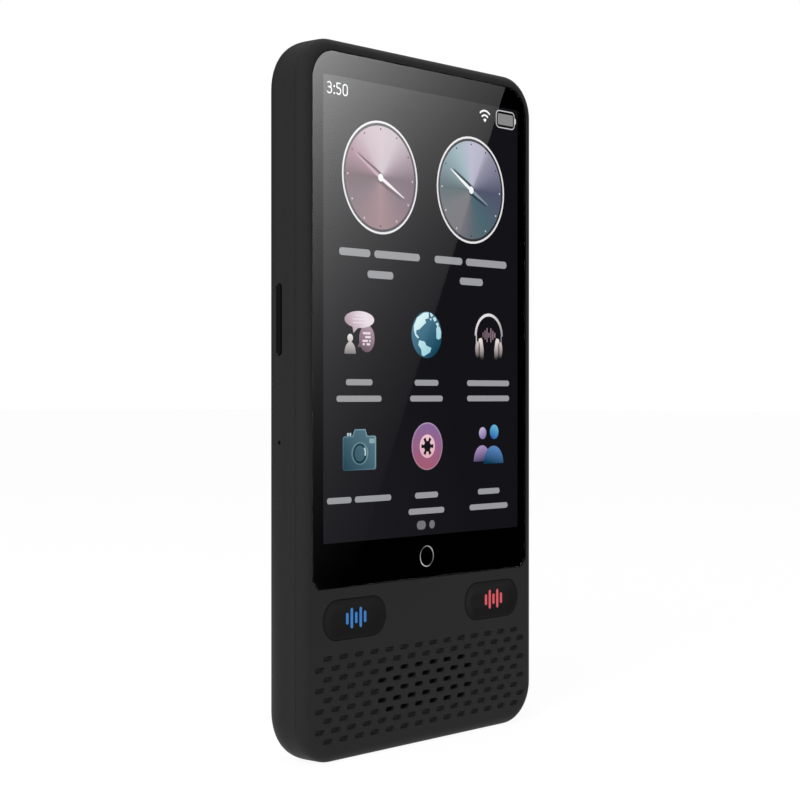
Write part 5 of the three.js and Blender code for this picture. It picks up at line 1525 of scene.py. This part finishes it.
# The left side of the housing mirrors the space behind it to the left.
side_eye = Vector((-BODY_WIDTH - eye.x, eye.y, eye.z))


def beside(y, z):
    """The point that a point of the left side mirrors to the camera, as far off as the camera is."""
    on_side = Vector((-BODY_WIDTH / 2, y, z))
    return on_side + (on_side - side_eye)


side_places = ((-70, -60), (45, -60), (45, 200), (-70, 200))
card("black_card_side", [beside(y, z) for y, z in side_places], black_card)

# The rounding at the rear mirrors what is behind the device, at a low angle that would make it glare.
BEHIND_Y = 320
behind_corners = ((-120, 0), (340, 0), (340, 420), (-120, 420))
card("black_card_behind", [(x, BEHIND_Y, z) for x, z in behind_corners], black_card)

# %% The soft light panel
# Cloth over a lamp that stands behind its upper left corner: the light fades downwards and to the right. Seen
# in the glass, it halves about every 16 mm down and every 19 mm across.
FADE_DOWN, FADE_ACROSS = 23.5, 28.0
# The place in the glass from which the fade is reckoned, the strength there, and a cut that lets it end.
FADE_X, FADE_Z = -30.0, 101.0
FADE_STRENGTH, FADE_OUT = 1.72, 0.07
soft_panel, tree = empty_material("light_panel_soft")
place = add_node(tree, "ShaderNodeTexCoord")
climb = Vector((-1 / FADE_ACROSS, 0, 1 / FADE_DOWN))
per_mm = climb / (1 + REACH)
start = (mirror_eye * REACH / (1 + REACH) - Vector((FADE_X, 0, FADE_Z))).dot(climb)
steps = add_node(
    tree, "ShaderNodeVectorMath", {0: place.outputs["Object"], 1: per_mm / MM}, operation="DOT_PRODUCT"
)
steps = add_node(tree, "ShaderNodeMath", {0: steps.outputs["Value"], 1: start}, operation="ADD")
fade = add_node(tree, "ShaderNodeMath", {0: steps.outputs["Value"]}, operation="EXPONENT")
power = add_node(
    tree, "ShaderNodeMath",
    {0: fade.outputs["Value"], 1: FADE_STRENGTH, 2: -FADE_OUT}, operation="MULTIPLY_ADD",
)
power = add_node(tree, "ShaderNodeMath", {0: power.outputs["Value"], 1: 0.0}, operation="MAXIMUM")
glow = add_node(tree, "ShaderNodeEmission", {"Color": (1, 1, 1, 1), "Strength": power.outputs["Value"]})
add_node(tree, "ShaderNodeOutputMaterial", {"Surface": glow.outputs["Emission"]})
panel_places = ((-34, 30), (-22.1, 30), (25.6, 130), (-34, 130))
card("soft_light_panel", [opposite(x, z) for x, z in panel_places], soft_panel)

# %% [markdown]
# ## The lamp
#
# One large soft lamp at the upper left gives the plastic its shape. A sun would do it with hard edges, but
# the photograph has none. The lamp isn't mirrored in the glass, because there the panel is what shows.

# %% The lamp
def lamp(name, location, target, size, watts):
    """A large soft lamp aimed at a point, in millimetres."""
    data = bpy.data.lights.new(name, "AREA")
    data.shape, data.size, data.energy = "DISK", size * MM, watts
    piece = bpy.data.objects.new(name, data)
    piece.location = Vector(location) * MM
    piece.rotation_mode = "QUATERNION"
    piece.rotation_quaternion = (Vector(target) - Vector(location)).to_track_quat("-Z", "Y")
    piece.visible_glossy = False
    bpy.context.scene.collection.objects.link(piece)
    print(name, "is", size, "mm across and", round((Vector(target) - Vector(location)).length), "mm away")


lamp("key_lamp", location=(-780, -300, 450), target=(0, 0, 65), size=500, watts=5.0)
bpy.context.scene.view_settings.view_transform = "Standard"

# %% [markdown]
# ## Sizes
#
# The finish of a piece must not change its size. So the box round the construction model, measured at the
# start, and the box round the finished pieces are written side by side, where they can be compared at a
# glance.

new_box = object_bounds()
for title, box in (("CAD box", cad_box), ("visual box", new_box)):
    print(title, [[round(v, 4) for v in corner] for corner in box])
